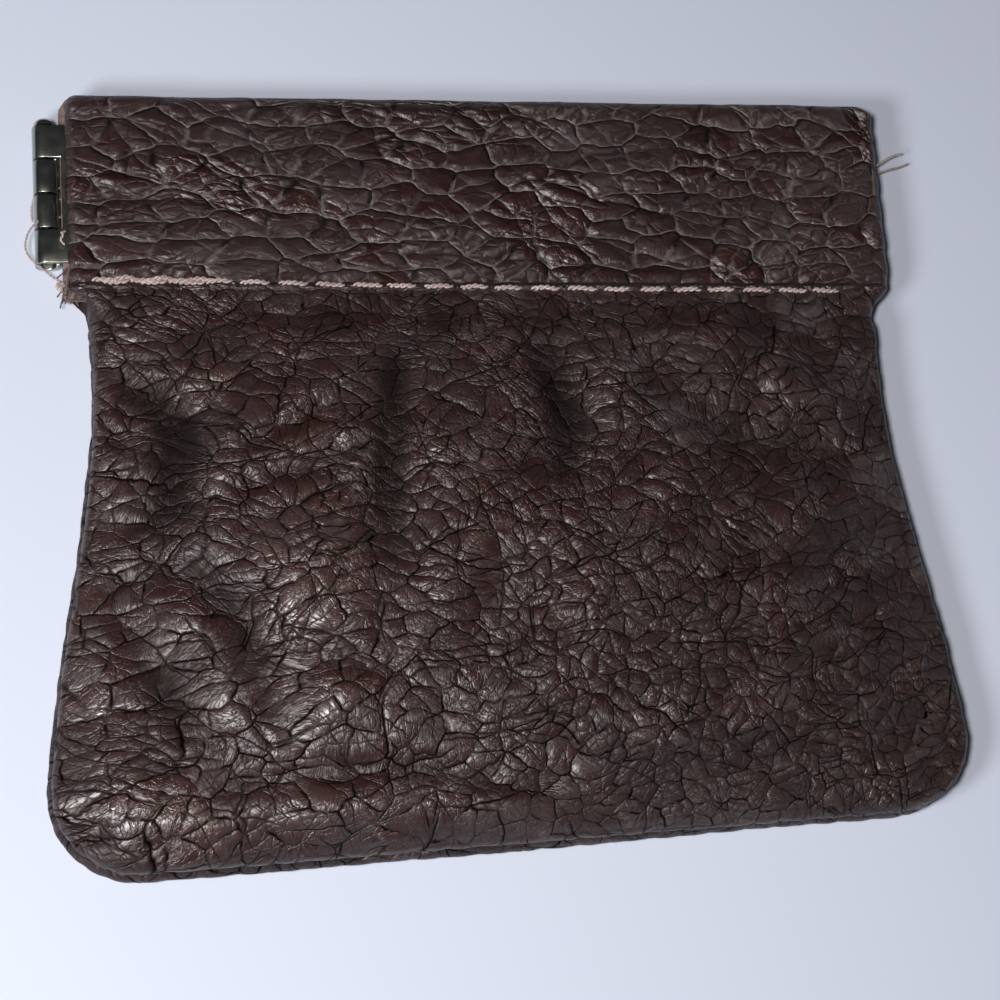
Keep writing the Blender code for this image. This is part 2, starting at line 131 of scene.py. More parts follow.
class Bench:
    """Adds nodes to one tree, of a material, a shader group or a geometry group, and links them."""

    def __init__(self, tree: bpy.types.NodeTree) -> None:
        """Keeps the tree."""
        self.tree = tree

    def add(self, kind: str, **settings: object) -> bpy.types.Node:
        """Adds a node of a kind and sets its properties."""
        node = self.tree.nodes.new(kind)
        for name, value in settings.items():
            setattr(node, name, value)
        return node

    def feed(self, socket: Socket, value: object) -> None:
        """Links a socket to another one, or sets its value."""
        if isinstance(value, bpy.types.NodeSocket):
            self.tree.links.new(value, socket)
        else:
            socket.default_value = value

    def math(self, operation: str, first: object, second: object) -> Socket:
        """A Math node's result."""
        node = self.add("ShaderNodeMath", operation=operation)
        self.feed(node.inputs[0], first)
        self.feed(node.inputs[1], second)
        return node.outputs[0]

    def times(self, first: object, second: object) -> Socket:
        """A product."""
        return self.math("MULTIPLY", first, second)

    def total(self, *terms: tuple[object, object]) -> Socket:
        """The sum of the products of pairs."""
        found = self.times(*terms[0])
        for pair in terms[1:]:
            found = self.math("ADD", found, self.times(*pair))
        return found

    def vector(self, operation: str, first: object, second: object = None, scale: object = None) -> Socket:
        """A Vector Math node's result, which is a number for a dot product and a vector otherwise."""
        node = self.add("ShaderNodeVectorMath", operation=operation)
        self.feed(node.inputs[0], first)
        if second is not None:
            self.feed(node.inputs[1], second)
        if scale is not None:
            self.feed(node.inputs["Scale"], scale)
        return node.outputs["Value" if operation == "DOT_PRODUCT" else "Vector"]

    def span(self, value: object, low: object, high: object, start: float = 0.0, end: float = 1.0,
             way: str = "SMOOTHSTEP") -> Socket:
        """A Map Range node's result.

        Args:
            value: What is mapped.
            low: The value that gives start.
            high: The value that gives end.
            start: Result at low.
            end: Result at high.
            way: The node's interpolation.

        Returns:
            The mapped number.
        """
        node = self.add("ShaderNodeMapRange", interpolation_type=way)
        for index, given in enumerate((value, low, high, start, end)):
            self.feed(node.inputs[index], given)
        return node.outputs[0]

    def noise(self, place: Socket, scale: float, detail: float = 2.0,
              roughness: float = 0.5) -> tuple[Socket, Socket]:
        """A Noise Texture's factor and colour, with the scale in waves per millimetre."""
        node = self.add("ShaderNodeTexNoise", noise_dimensions="3D")
        self.feed(node.inputs["Vector"], place)
        node.inputs["Scale"].default_value = scale
        node.inputs["Detail"].default_value = detail
        node.inputs["Roughness"].default_value = roughness
        return node.outputs[0], node.outputs[1]

    def voronoi(self, place: Socket, size: float, loose: object = 1.0,
                feature: str = "F1") -> bpy.types.Node:
        """A Voronoi Texture of flat cells of a size in millimetres, on a grid where loose is 0."""
        node = self.add("ShaderNodeTexVoronoi", voronoi_dimensions="2D", feature=feature)
        self.feed(node.inputs["Vector"], place)
        self.feed(node.inputs["Randomness"], loose)
        node.inputs["Scale"].default_value = 1.0 / size
        return node

    def cells(self, place: Socket, size: float, loose: object = 1.0) -> Socket:
        """Distance in millimetres from the nearest border of cells."""
        return self.times(self.voronoi(place, size, loose, "DISTANCE_TO_EDGE").outputs["Distance"], size)

    def cell_side(self, place: Socket, size: float, loose: object, way: tuple) -> Socket:
        """How far a place is from its cell's middle along a way, in cells."""
        off = self.vector("SUBTRACT", place, self.voronoi(place, size, loose).outputs["Position"])
        return self.math("DIVIDE", self.vector("DOT_PRODUCT", off, way), size)

    def cell_tilt(self, place: Socket, size: float) -> Socket:
        """A slope of its own for every cell, as a height that is 0 at the cell's middle."""
        node = self.voronoi(place, size)
        lean = self.vector("SUBTRACT", node.outputs["Color"], MID_GREY)
        off = self.vector("SUBTRACT", place, node.outputs["Position"])
        return self.vector("DOT_PRODUCT", lean, self.vector("MULTIPLY", off, (1.0, 1.0, 0.0)))

    def turn(self, place: Socket, angle: object) -> Socket:
        """Flat coordinates turned by an angle in radians."""
        node = self.add("ShaderNodeVectorRotate", rotation_type="Z_AXIS")
        self.feed(node.inputs["Vector"], place)
        self.feed(node.inputs["Angle"], angle)
        return node.outputs["Vector"]

    def mix(self, share: object, first: object, second: object) -> Socket:
        """A Mix node's colour, from first at share 0 to second at share 1."""
        node = self.add("ShaderNodeMix", data_type="RGBA")
        self.feed(node.inputs["Factor"], share)
        for name, given in (("A", first), ("B", second)):
            socket = [s for s in node.inputs if s.name == name and s.type == "RGBA"][0]
            self.feed(socket, (*given, 1.0) if isinstance(given, tuple) else given)
        return [s for s in node.outputs if s.type == "RGBA"][0]


@dataclass(frozen=True)
class PebbleGrain:
    """Tumbled pebble grain: domed pebbles between narrow creases, long creases that cross them and fine
    wrinkles that run their own way on each pebble. Sizes are in millimetres, as the pattern's
    coordinates are. From one height up in those coordinates, the pattern is the casing's."""

    pebble: float = 2.35
    cross: float = 3.3
    small_pebble: float = 1.05
    long_crease: float = 8.5
    sway: float = 5.2
    shiver: float = 0.8
    streak: float = 0.36
    casing_from: float = 21.2
    casing_full: float = 21.8
    casing_sway: float = 0.5
    casing_looseness: float = 0.74
    # Each net's reach from its creases: that of its domes' flanks, and that of the dark lines.
    reaches: tuple[tuple[str, float, float], ...] = (
        ("pebble", 1.0, 0.16), ("cross", 0.8, 0.13), ("small", 0.45, 0.09), ("long", 1.1, 0.19))
    masks: tuple[tuple[str, str], ...] = (("cross", "crossed"), ("small", "broken"), ("long", "worked"))
    # How dark the lesser nets' lines are, and how high domes and tilts are in the bump and in the mesh.
    shares: tuple[tuple[str, float], ...] = (
        ("cross_crease", 0.8), ("small_crease", 0.4), ("long_crease", 1.0))
    bump_heights: tuple[tuple[str, float], ...] = (
        ("pebble_dome", 0.06), ("cross_dome", 0.045), ("small_dome", 0.026), ("long_dome", 0.055))
    mesh_heights: tuple[tuple[str, float], ...] = (
        ("pebble_dome", 0.09), ("tilt", 0.07), ("cross_dome", 0.05), ("long_dome", 0.09))

    def bent(self, bench: Bench, place: Socket, casing: Socket) -> tuple[Socket, Socket]:
        """The pattern's coordinates, bent so that no crease is straight, and how strong creases are."""
        slow = bench.vector("SUBTRACT", bench.noise(place, 0.12, 1.0)[1], MID_GREY)
        slow = bench.vector("SCALE", slow, scale=bench.span(casing, 0.0, 1.0, 1.0, self.casing_sway))
        cloud = bench.noise(place, 0.7, 2.0)[1]
        quick = bench.vector("SUBTRACT", cloud, MID_GREY)
        place = bench.vector("ADD", place, bench.vector("SCALE", slow, scale=self.sway))
        place = bench.vector("ADD", place, bench.vector("SCALE", quick, scale=self.shiver))
        strength = bench.span(bench.vector("DOT_PRODUCT", cloud, (0, 0, 1)), 0.38, 0.58, 0.4, 1.0)
        return bench.vector("MULTIPLY", place, (1.0, 1.0, 0.0)), strength

    def nets(self, bench: Bench, place: Socket) -> dict[str, Socket]:
        """Distances to the nearest crease of each net, and the places where the lesser nets show.

        Args:
            bench: The tree that the nodes go into.
            place: Coordinates along the leather, in millimetres.

        Returns:
            Sockets for the four nets, the bent coordinates, how far a place is into the casing, how
            far up its pebble it is, how strong creases are and the masks.
        """
        up = bench.vector("DOT_PRODUCT", place, (0.0, 1.0, 0.0))
        casing = bench.span(up, self.casing_from, self.casing_full)
        loose = bench.span(casing, 0.0, 1.0, 1.0, self.casing_looseness)
        bent, strength = self.bent(bench, place, casing)
        wide = bench.vector("MULTIPLY", bent, (0.85, 1.12, 1.0))
        crossing = bench.vector("MULTIPLY", bench.turn(bent, 0.75), (0.55, 1.35, 1.0))
        cloud = bench.noise(place, 0.16, 1.0)[1]
        masks = [bench.vector("DOT_PRODUCT", cloud, way) for way in ((1, 0, 0), (0, 1, 0), (0, 0, 1))]
        return {
            "bent": bent,
            "strength": strength,
            "casing": casing,
            "wide": wide,
            "side": bench.cell_side(wide, self.pebble, loose, (0.3, 1.0, 0.0)),
            "pebble": bench.cells(wide, self.pebble, loose),
            "cross": bench.cells(crossing, self.cross),
            "small": bench.cells(bent, self.small_pebble),
            "long": bench.cells(bench.vector("MULTIPLY", bent, (0.62, 1.3, 1.0)), self.long_crease),
            "broken": bench.span(masks[0], 0.38, 0.54, 0.15, 1.0),
            "crossed": bench.span(masks[1], 0.40, 0.56, 0.25, 1.0),
            "worked": bench.span(masks[2], 0.42, 0.58, 0.3, 1.0),
        }

    def layers(self, bench: Bench, place: Socket) -> dict[str, Socket]:
        """The grain's separate layers.

        Args:
            bench: The tree that the nodes go into.
            place: Coordinates along the leather, in millimetres.

        Returns:
            The nets' sockets, with sockets for the pebbles' domes and tilts and for the creases, each
            from 0 to 1 except the tilts, which are heights.
        """
        net = self.nets(bench, place)
        found = {"tilt": bench.cell_tilt(net["wide"], self.pebble)}
        for name, flank_reach, line_reach in self.reaches:
            flank = bench.math("SUBTRACT", 1.0, bench.span(net[name], 0.0, flank_reach, way="LINEAR"))
            found[name + "_dome"] = bench.math("SUBTRACT", 1.0, bench.times(flank, flank))
            found[name + "_crease"] = bench.span(net[name], 0.0, line_reach, 1.0, 0.0)
        for name, mask in self.masks:
            for kind in ("_dome", "_crease"):
                found[name + kind] = bench.times(found[name + kind], net[mask])
        return net | found

    def wrinkles(self, bench: Bench, net: dict[str, Socket], place: Socket) -> Socket:
        """Fine wrinkles that run their own way on each pebble, from 0 to 1."""
        pebble = bench.voronoi(net["wide"], self.pebble)
        own = bench.vector("DOT_PRODUCT", pebble.outputs["Color"], (1.0, 0.0, 0.0))
        drift = bench.span(bench.noise(place, 0.09, 0.0)[0], 0.3, 0.7, -0.7, 0.7, "LINEAR")
        angle = bench.math("ADD", drift, bench.span(own, 0.0, 1.0, -1.1, 1.1, "LINEAR"))
        along = bench.turn(net["bent"], angle)
        long_way = bench.vector("MULTIPLY", along, (1.0 / self.streak, 0.42 / self.streak, 1.0))
        ridges = bench.noise(long_way, 0.75, 3.0, 0.6)[0]
        off = bench.add("ShaderNodeMath", operation="ABSOLUTE")
        bench.feed(off.inputs[0], bench.math("SUBTRACT", ridges, 0.5))
        line = bench.span(off.outputs[0], 0.0, 0.055, 1.0, 0.0)
        swell = bench.span(ridges, 0.3, 0.7, way="LINEAR")
        return bench.total((line, 0.62), (swell, 0.38))


GRAIN = PebbleGrain()
GRAIN_PLACE = "grain_place"
FOLD_SHADE = "fold_shade"


def grain_group() -> bpy.types.NodeTree:
    """The pebble grain as a shader group, built once."""
    name = "pebble_grain"
    if name in bpy.data.node_groups:
        return bpy.data.node_groups[name]
    tree = bpy.data.node_groups.new(name, "ShaderNodeTree")
    tree.interface.new_socket("Place", in_out="INPUT", socket_type="NodeSocketVector")
    for out in ("Height", "Crease", "Pebble", "Wrinkle", "Worn", "Welt", "Casing"):
        tree.interface.new_socket(out, in_out="OUTPUT", socket_type="NodeSocketFloat")
    bench = Bench(tree)
    place = bench.add("NodeGroupInput").outputs["Place"]
    end = bench.add("NodeGroupOutput")
    part = GRAIN.layers(bench, place)
    casing = part["casing"]

    def by_casing(value: float) -> Socket:
        """1 on the body, running to a value on the casing."""
        return bench.span(casing, 0.0, 1.0, 1.0, value)

    wrinkles = GRAIN.wrinkles(bench, part, place)
    pores = bench.noise(place, 4.5, 2.0)[0]
    lines = bench.times(part["pebble_crease"], part["strength"])
    for layer, share in GRAIN.shares:
        lines = bench.math("MAXIMUM", lines, bench.times(part[layer], share))
    worn = bench.span(bench.vector("DOT_PRODUCT", place, (-0.7, -0.7, 0.0)), -5.0, 38.0)
    rough = bench.times(bench.span(worn, 0.0, 1.0, 0.085, 0.048, "LINEAR"), by_casing(0.42))
    # The casing's flat scales overlap: a raised welt along each lower edge with painted highlight on it,
    # and painted shade under it on the next.
    near = bench.times(part["strength"], casing)
    upper = bench.span(part["side"], -0.1, 0.16)
    edge = bench.math("ADD", part["pebble"], bench.span(pores, 0.3, 0.7, -0.05, 0.05, "LINEAR"))
    welt = bench.times(bench.span(edge, 0.02, 0.20, 1.0, 0.0), bench.span(upper, 0.0, 1.0, 1.0, 0.12))
    crossed = bench.times(bench.span(part["cross"], 0.0, 0.09, 0.4, 0.0), part["crossed"])
    welt = bench.times(bench.math("MAXIMUM", welt, crossed), near)
    shade = bench.times(bench.span(part["pebble"], 0.0, 0.34, 1.0, 0.0), bench.times(near, upper))
    overlap = bench.times(part["side"], casing)
    domes = bench.total(*((part[layer], height) for layer, height in GRAIN.bump_heights))
    swelling = bench.times(bench.span(worn, 0.0, 1.0, 1.2, 0.75), by_casing(3.0))
    # The crease output is painted shade: the crease lines, fainter on the casing, and the shade under each
    # of its scales.
    found = {
        "Height": bench.total((wrinkles, rough), (domes, swelling), (lines, -0.055), (welt, 0.05),
                              (pores, 0.007), (overlap, -0.11)),
        "Crease": bench.math("MAXIMUM", bench.times(lines, by_casing(0.25)), bench.times(shade, 0.95)),
        "Pebble": part["pebble_dome"],
        "Wrinkle": wrinkles,
        "Worn": worn,
        "Welt": welt,
        "Casing": casing,
    }
    for out, socket in found.items():
        bench.feed(end.inputs[out], socket)
    return tree


def relief_group() -> bpy.types.NodeTree:
    """A geometry group that stores the grain's relief on each point, in millimetres."""
    tree = bpy.data.node_groups.new("grain_relief", "GeometryNodeTree")
    tree.interface.new_socket("Geometry", in_out="INPUT", socket_type="NodeSocketGeometry")
    tree.interface.new_socket("Geometry", in_out="OUTPUT", socket_type="NodeSocketGeometry")
    bench = Bench(tree)
    start = bench.add("NodeGroupInput")
    end = bench.add("NodeGroupOutput")
    named = bench.add("GeometryNodeInputNamedAttribute", data_type="FLOAT_VECTOR")
    named.inputs["Name"].default_value = GRAIN_PLACE
    place = named.outputs["Attribute"]
    part = GRAIN.layers(bench, place)
    relief = bench.total(*((part[layer], height) for layer, height in GRAIN.mesh_heights))
    swell = bench.span(bench.noise(place, 0.085, 2.0)[0], 0.3, 0.7, -0.35, 0.35, "LINEAR")
    geometry = start.outputs["Geometry"]
    for name, value in (("relief", relief), ("swell", swell)):
        store = bench.add("GeometryNodeStoreNamedAttribute", data_type="FLOAT", domain="POINT")
        store.inputs["Name"].default_value = name
        bench.feed(store.inputs["Value"], value)
        bench.feed(store.inputs["Geometry"], geometry)
        geometry = store.outputs["Geometry"]
    bench.feed(end.inputs["Geometry"], geometry)
    return tree


# Finishes.


class Surface:
    """A material in the making: a bench on its tree, and its shader."""

    def __init__(self, name: str) -> None:
        """Makes the material."""
        self.material = bpy.data.materials.new(name)
        self.material.use_nodes = True
        self.bench = Bench(self.material.node_tree)
        self.shader = self.material.node_tree.nodes["Principled BSDF"]

    def own_place(self) -> Socket:
        """The piece's own coordinates, in millimetres."""
        coordinates = self.bench.add("ShaderNodeTexCoord")
        return self.bench.vector("SCALE", coordinates.outputs["Object"], scale=1.0 / MM)

    def finish(self, values: dict[str, object], height: Socket, relief: float = MM) -> bpy.types.Material:
        """Feeds the shader.

        Args:
            values: What goes into each of the shader's sockets.
            height: Height of the bumps.
            relief: Length that a height of 1 stands for.

        Returns:
            The material.
        """
        for name, value in values.items():
            self.bench.feed(self.shader.inputs[name], value)
        bump = self.bench.add("ShaderNodeBump")
        bump.inputs["Distance"].default_value = relief
        self.bench.feed(bump.inputs["Height"], height)
        self.bench.feed(self.shader.inputs["Normal"], bump.outputs["Normal"])
        return self.material


@dataclass(frozen=True)
class GrainLeather:
    """Dark brown pebbled leather, half gloss, with painted shade in its creases and fold valleys, wear and
    painted sheen on its pebbles and wrinkles, and painted highlight on its bulges and the casing's welts.
    """

    name: str = "dark_brown_pebbled_leather"
    body: Colour = (0.0215, 0.0032, 0.0020)
    warm: Colour = (0.0275, 0.0048, 0.0026)
    # Painted shade for the creases, under the casing's scales and in the fold valleys.
    crease: Colour = (0.0030, 0.0007, 0.0004)
    # Wear and painted sheen on the pebble tops and wrinkles, and painted highlight on the bulges.
    wear_and_sheen: Colour = (0.0580, 0.0250, 0.0195)
    # Painted highlight on the casing's welts.
    welt: Colour = (0.1650, 0.1300, 0.1200)
    glossiest: float = 0.39
    dullest: float = 0.47
    worn_polish: float = 0.06
    bulge_polish: float = 0.05
    crease_dulling: float = 0.3
    wrinkle_sheen: float = 0.35
    casing_wear_and_sheen: float = 0.35
    welt_share: float = 0.85
    relief: float = 1.2 * MM

    def build(self) -> bpy.types.Material:
        """Makes the material."""
        surface = Surface(self.name)
        bench = surface.bench
        place = bench.add("ShaderNodeAttribute", attribute_name=GRAIN_PLACE).outputs["Vector"]
        fold = bench.add("ShaderNodeAttribute", attribute_name=FOLD_SHADE).outputs["Fac"]
        grain = bench.add("ShaderNodeGroup", node_tree=grain_group())
        bench.feed(grain.inputs["Place"], place)
        out = grain.outputs
        # Partly wear on the pebble tops, partly painted sheen on them and painted highlight on the wrinkle
        # ridges, less of both on the casing.
        wear_and_sheen_mask = bench.times(out["Pebble"], bench.span(bench.noise(place, 0.5, 2.0)[0], 0.45, 0.75, 0.0, 0.3))
        wear_and_sheen_mask = bench.math("ADD", wear_and_sheen_mask, bench.times(out["Wrinkle"], self.wrinkle_sheen))
        wear_and_sheen_mask = bench.times(wear_and_sheen_mask, bench.span(out["Casing"], 0.0, 1.0, 1.0, self.casing_wear_and_sheen))
        # Painted shade in the fold valleys, and a mask of the bulges, which get painted highlight and more
        # polish.
        valley_shade = bench.span(fold, 0.05, 0.85, 0.0, 0.6)
        bulge = bench.span(fold, -0.05, -0.6)
        # Painted highlight on the pebbles of the bulges.
        bulge_highlight = bench.times(bulge, bench.span(out["Pebble"], 0.1, 0.9, 0.25, 0.75))
        # Painted shade of the creases, the casing's scales and the fold valleys, in one mask.
        dark = bench.math("MAXIMUM", bench.times(out["Crease"], 0.9), valley_shade)
        tone = bench.span(bench.noise(place, 0.05, 3.0)[0], 0.35, 0.65)
        colour = bench.mix(tone, self.body, self.warm)
        for share, over in ((wear_and_sheen_mask, self.wear_and_sheen), (bulge_highlight, self.wear_and_sheen), (dark, self.crease),
                            (bench.times(out["Welt"], self.welt_share), self.welt)):
            colour = bench.mix(share, colour, over)
        rough = bench.span(bench.noise(place, 0.35, 3.0)[0], 0.3, 0.7, self.glossiest, self.dullest)
        for mask, polish in ((out["Worn"], self.worn_polish), (bulge, self.bulge_polish)):
            rough = bench.math("SUBTRACT", rough, bench.times(mask, polish))
        rough = bench.math("ADD", rough, bench.times(dark, self.crease_dulling))
        # A black metal reflects almost nothing, so metal in the painted shade takes the gloss out of deep
        # creases and fold valleys.
        metallic = bench.span(dark, 0.05, 0.9, 0.0, 1.0, "LINEAR")
        values = {"Base Color": colour, "Roughness": rough, "Metallic": metallic, "Specular IOR Level": 1.0}
        return surface.finish(values, out["Height"], self.relief)


@dataclass(frozen=True)
class FleshLeather:
    """The leather's raw flesh side and cut edges: pinkish beige suede with loose fibres."""

    name: str = "raw_flesh_leather"
    body: Colour = (0.165, 0.108, 0.094)
    dark: Colour = (0.062, 0.038, 0.032)
    pale: Colour = (0.33, 0.25, 0.225)

    def build(self) -> bpy.types.Material:
        """Makes the material."""
        surface = Surface(self.name)
        bench, place = surface.bench, surface.own_place()
        nap = bench.noise(place, 1.1, 4.0, 0.65)[0]
        fibre = bench.noise(place, 7.0, 3.0)[0]
        colour = bench.mix(bench.span(nap, 0.32, 0.62), self.dark, self.body)
        colour = bench.mix(bench.span(fibre, 0.52, 0.72, 0.0, 0.8), colour, self.pale)
        rough = bench.span(fibre, 0.3, 0.7, 0.8, 0.98)
        values = {"Base Color": colour, "Roughness": rough, "Sheen Weight": 0.15}
        return surface.finish(values, bench.total((nap, 0.12), (fibre, 0.05)))


@dataclass(frozen=True)
class Nickel:
    """Nickel plate on spring steel, with faint draw marks along the strip and warmer, worn patches."""

    name: str
    body: Colour
    worn: Colour
    roughness: float
    spread: float = 0.06

    def build(self) -> bpy.types.Material:
        """Makes the material."""
        surface = Surface(self.name)
        bench, place = surface.bench, surface.own_place()
        marks = bench.noise(bench.vector("MULTIPLY", place, (0.35, 9.0, 3.0)), 1.0, 3.0)[0]
        cloud = bench.noise(place, 0.5, 2.0)[0]
        colour = bench.mix(bench.span(cloud, 0.4, 0.8, 0.0, 0.6), self.body, self.worn)
        rough = bench.span(cloud, 0.3, 0.7, self.roughness, self.roughness + self.spread)
        values = {"Base Color": colour, "Roughness": rough, "Metallic": 1.0}
        return surface.finish(values, bench.total((marks, 0.005), (cloud, 0.008)))


@dataclass(frozen=True)
class Thread:
    """Spun thread with fine fibres, with painted shade between them."""

    name: str
    body: Colour
    dark: Colour
    roughness: float = 0.55
    spread: float = 0.2

    def build(self) -> bpy.types.Material:
        """Makes the material."""
        surface = Surface(self.name)
        bench, place = surface.bench, surface.own_place()
        fibre = bench.noise(bench.vector("MULTIPLY", place, (5.0, 14.0, 14.0)), 1.0, 2.0)[0]
        cloud = bench.noise(place, 0.5, 2.0)[0]
        # Painted shade between the fibres.
        share = bench.times(bench.span(fibre, 0.35, 0.65), bench.span(cloud, 0.3, 0.7, 0.6, 1.0))
        colour = bench.mix(share, self.dark, self.body)
        rough = bench.span(cloud, 0.3, 0.7, self.roughness, self.roughness + self.spread)
        values = {"Base Color": colour, "Roughness": rough, "Sheen Weight": 0.3}
        return surface.finish(values, bench.times(fibre, 0.04))


# The sewn purse's shape.


@dataclass(frozen=True)
class Fold:
    """A soft fold in the belly, pressed in along a path, or a bulge where its depth is negative. Places
    on the path are shares of half the bottom's width and of the height up to the hem's stitch line. Depth
    and width are in millimetres."""

    path: tuple[tuple[float, float], ...]
    depth: float
    width: float

    def height(self, x: np.ndarray, y: np.ndarray, half_width: float, stitch_y: float) -> np.ndarray:
        """Change of height at points, fading towards the path's ends.

        Args:
            x: X of each point.
            y: Y of each point, up from the bottom seam.
            half_width: Half the bottom's width.
            stitch_y: Height of the hem's stitch line.

        Returns:
            The change at each point.
        """
        gap, along = distance_to_path(x, y, [(a * half_width, b * stitch_y) for a, b in self.path])
        fade = 0.35 + 0.65 * np.sin(np.pi * np.clip(along, 0.0, 1.0)) ** 0.6
        return -self.depth * MM * fade * np.exp(-(gap / (self.width * MM)) ** 2)


# The front panel's main folds, which its solid has too.
MAIN_FOLDS = (
    Fold(((-0.83, 0.83), (-0.74, 0.79), (-0.70, 0.72), (-0.71, 0.64), (-0.76, 0.55)), 1.3, 2.4),
    Fold(((-0.78, 0.49), (-0.67, 0.48), (-0.60, 0.42), (-0.56, 0.35), (-0.54, 0.26)), 0.9, 2.2),
    Fold(((-0.77, 0.85), (-0.65, 0.83), (-0.56, 0.80)), -0.6, 3.0),
    Fold(((-0.47, 0.58), (-0.44, 0.50), (-0.45, 0.38)), -1.4, 5.0),
    Fold(((-0.21, 0.94), (-0.24, 0.78), (-0.27, 0.60), (-0.26, 0.49)), 1.2, 2.3),
    Fold(((0.05, 0.95), (0.10, 0.87), (0.14, 0.74), (0.11, 0.62)), 1.3, 2.4),
    Fold(((0.24, 0.89), (0.27, 0.74)), -0.5, 3.2),
    Fold(((0.54, 0.89), (0.63, 0.83), (0.71, 0.77)), -0.9, 3.0),
    Fold(((0.36, 0.81), (0.43, 0.74), (0.56, 0.69), (0.75, 0.70)), 0.7, 2.7),
    Fold(((-0.82, 0.43), (-0.78, 0.34), (-0.71, 0.24), (-0.60, 0.16)), 0.8, 2.4),
    Fold(((-0.45, 0.26), (-0.35, 0.25)), -0.8, 3.4),
    Fold(((-0.89, 0.37), (-0.90, 0.21), (-0.82, 0.10), (-0.65, 0.06), (-0.42, 0.075), (0.13, 0.08)),
         -0.8, 3.0),
)
# Small folds and creases that only this model has.
SMALL_FOLDS = (
    Fold(((-0.86, 0.895), (-0.76, 0.90), (-0.65, 0.92), (-0.56, 0.94)), 0.55, 1.3),
    Fold(((-0.84, 0.97), (-0.72, 0.965), (-0.62, 0.985)), -0.45, 1.6),
    Fold(((-0.63, 0.71), (-0.51, 0.745), (-0.38, 0.805), (-0.25, 0.875)), -0.40, 1.3),
    Fold(((-0.66, 0.685), (-0.53, 0.71), (-0.40, 0.765), (-0.31, 0.80)), 0.50, 1.0),
    Fold(((-0.61, 0.65), (-0.47, 0.69), (-0.34, 0.725), (-0.25, 0.78)), -0.40, 1.2),
    Fold(((-0.63, 0.605), (-0.54, 0.64), (-0.41, 0.655), (-0.30, 0.69)), 0.50, 1.2),
    Fold(((-0.55, 0.80), (-0.44, 0.84), (-0.33, 0.90)), 0.35, 1.1),
    Fold(((-0.53, 0.315), (-0.38, 0.325), (-0.26, 0.30)), 0.45, 1.5),
    Fold(((-0.74, 0.43), (-0.66, 0.36), (-0.61, 0.27)), -0.50, 2.2),
    Fold(((-0.64, 0.13), (-0.46, 0.14), (-0.27, 0.155), (-0.11, 0.125), (0.04, 0.11)), 0.60, 1.3),
    Fold(((0.02, 0.57), (-0.04, 0.43), (-0.09, 0.29)), 0.40, 2.3),
    Fold(((0.11, 0.53), (0.16, 0.42), (0.17, 0.34)), -0.35, 2.4),
    Fold(((-0.12, 0.77), (-0.09, 0.63), (-0.12, 0.52)), -0.45, 4.0),
    Fold(((-0.90, 0.745), (-0.80, 0.72)), 0.55, 1.2),
    Fold(((-0.90, 0.575), (-0.79, 0.56)), 0.45, 1.3),
    Fold(((-0.93, 0.47), (-0.80, 0.48)), 0.45, 1.2),
    Fold(((0.66, 0.93), (0.79, 0.88)), 0.45, 1.6),
    Fold(((0.33, 0.55), (0.47, 0.50), (0.60, 0.52)), 0.30, 2.2),
)
# The back panel's faint folds.
BACK_FOLDS = (
    Fold(((-0.64, 0.87), (-0.51, 0.67), (-0.58, 0.44)), 0.25, 2.6),
    Fold(((0.26, 0.91), (0.36, 0.71), (0.32, 0.47)), 0.22, 2.8),
)


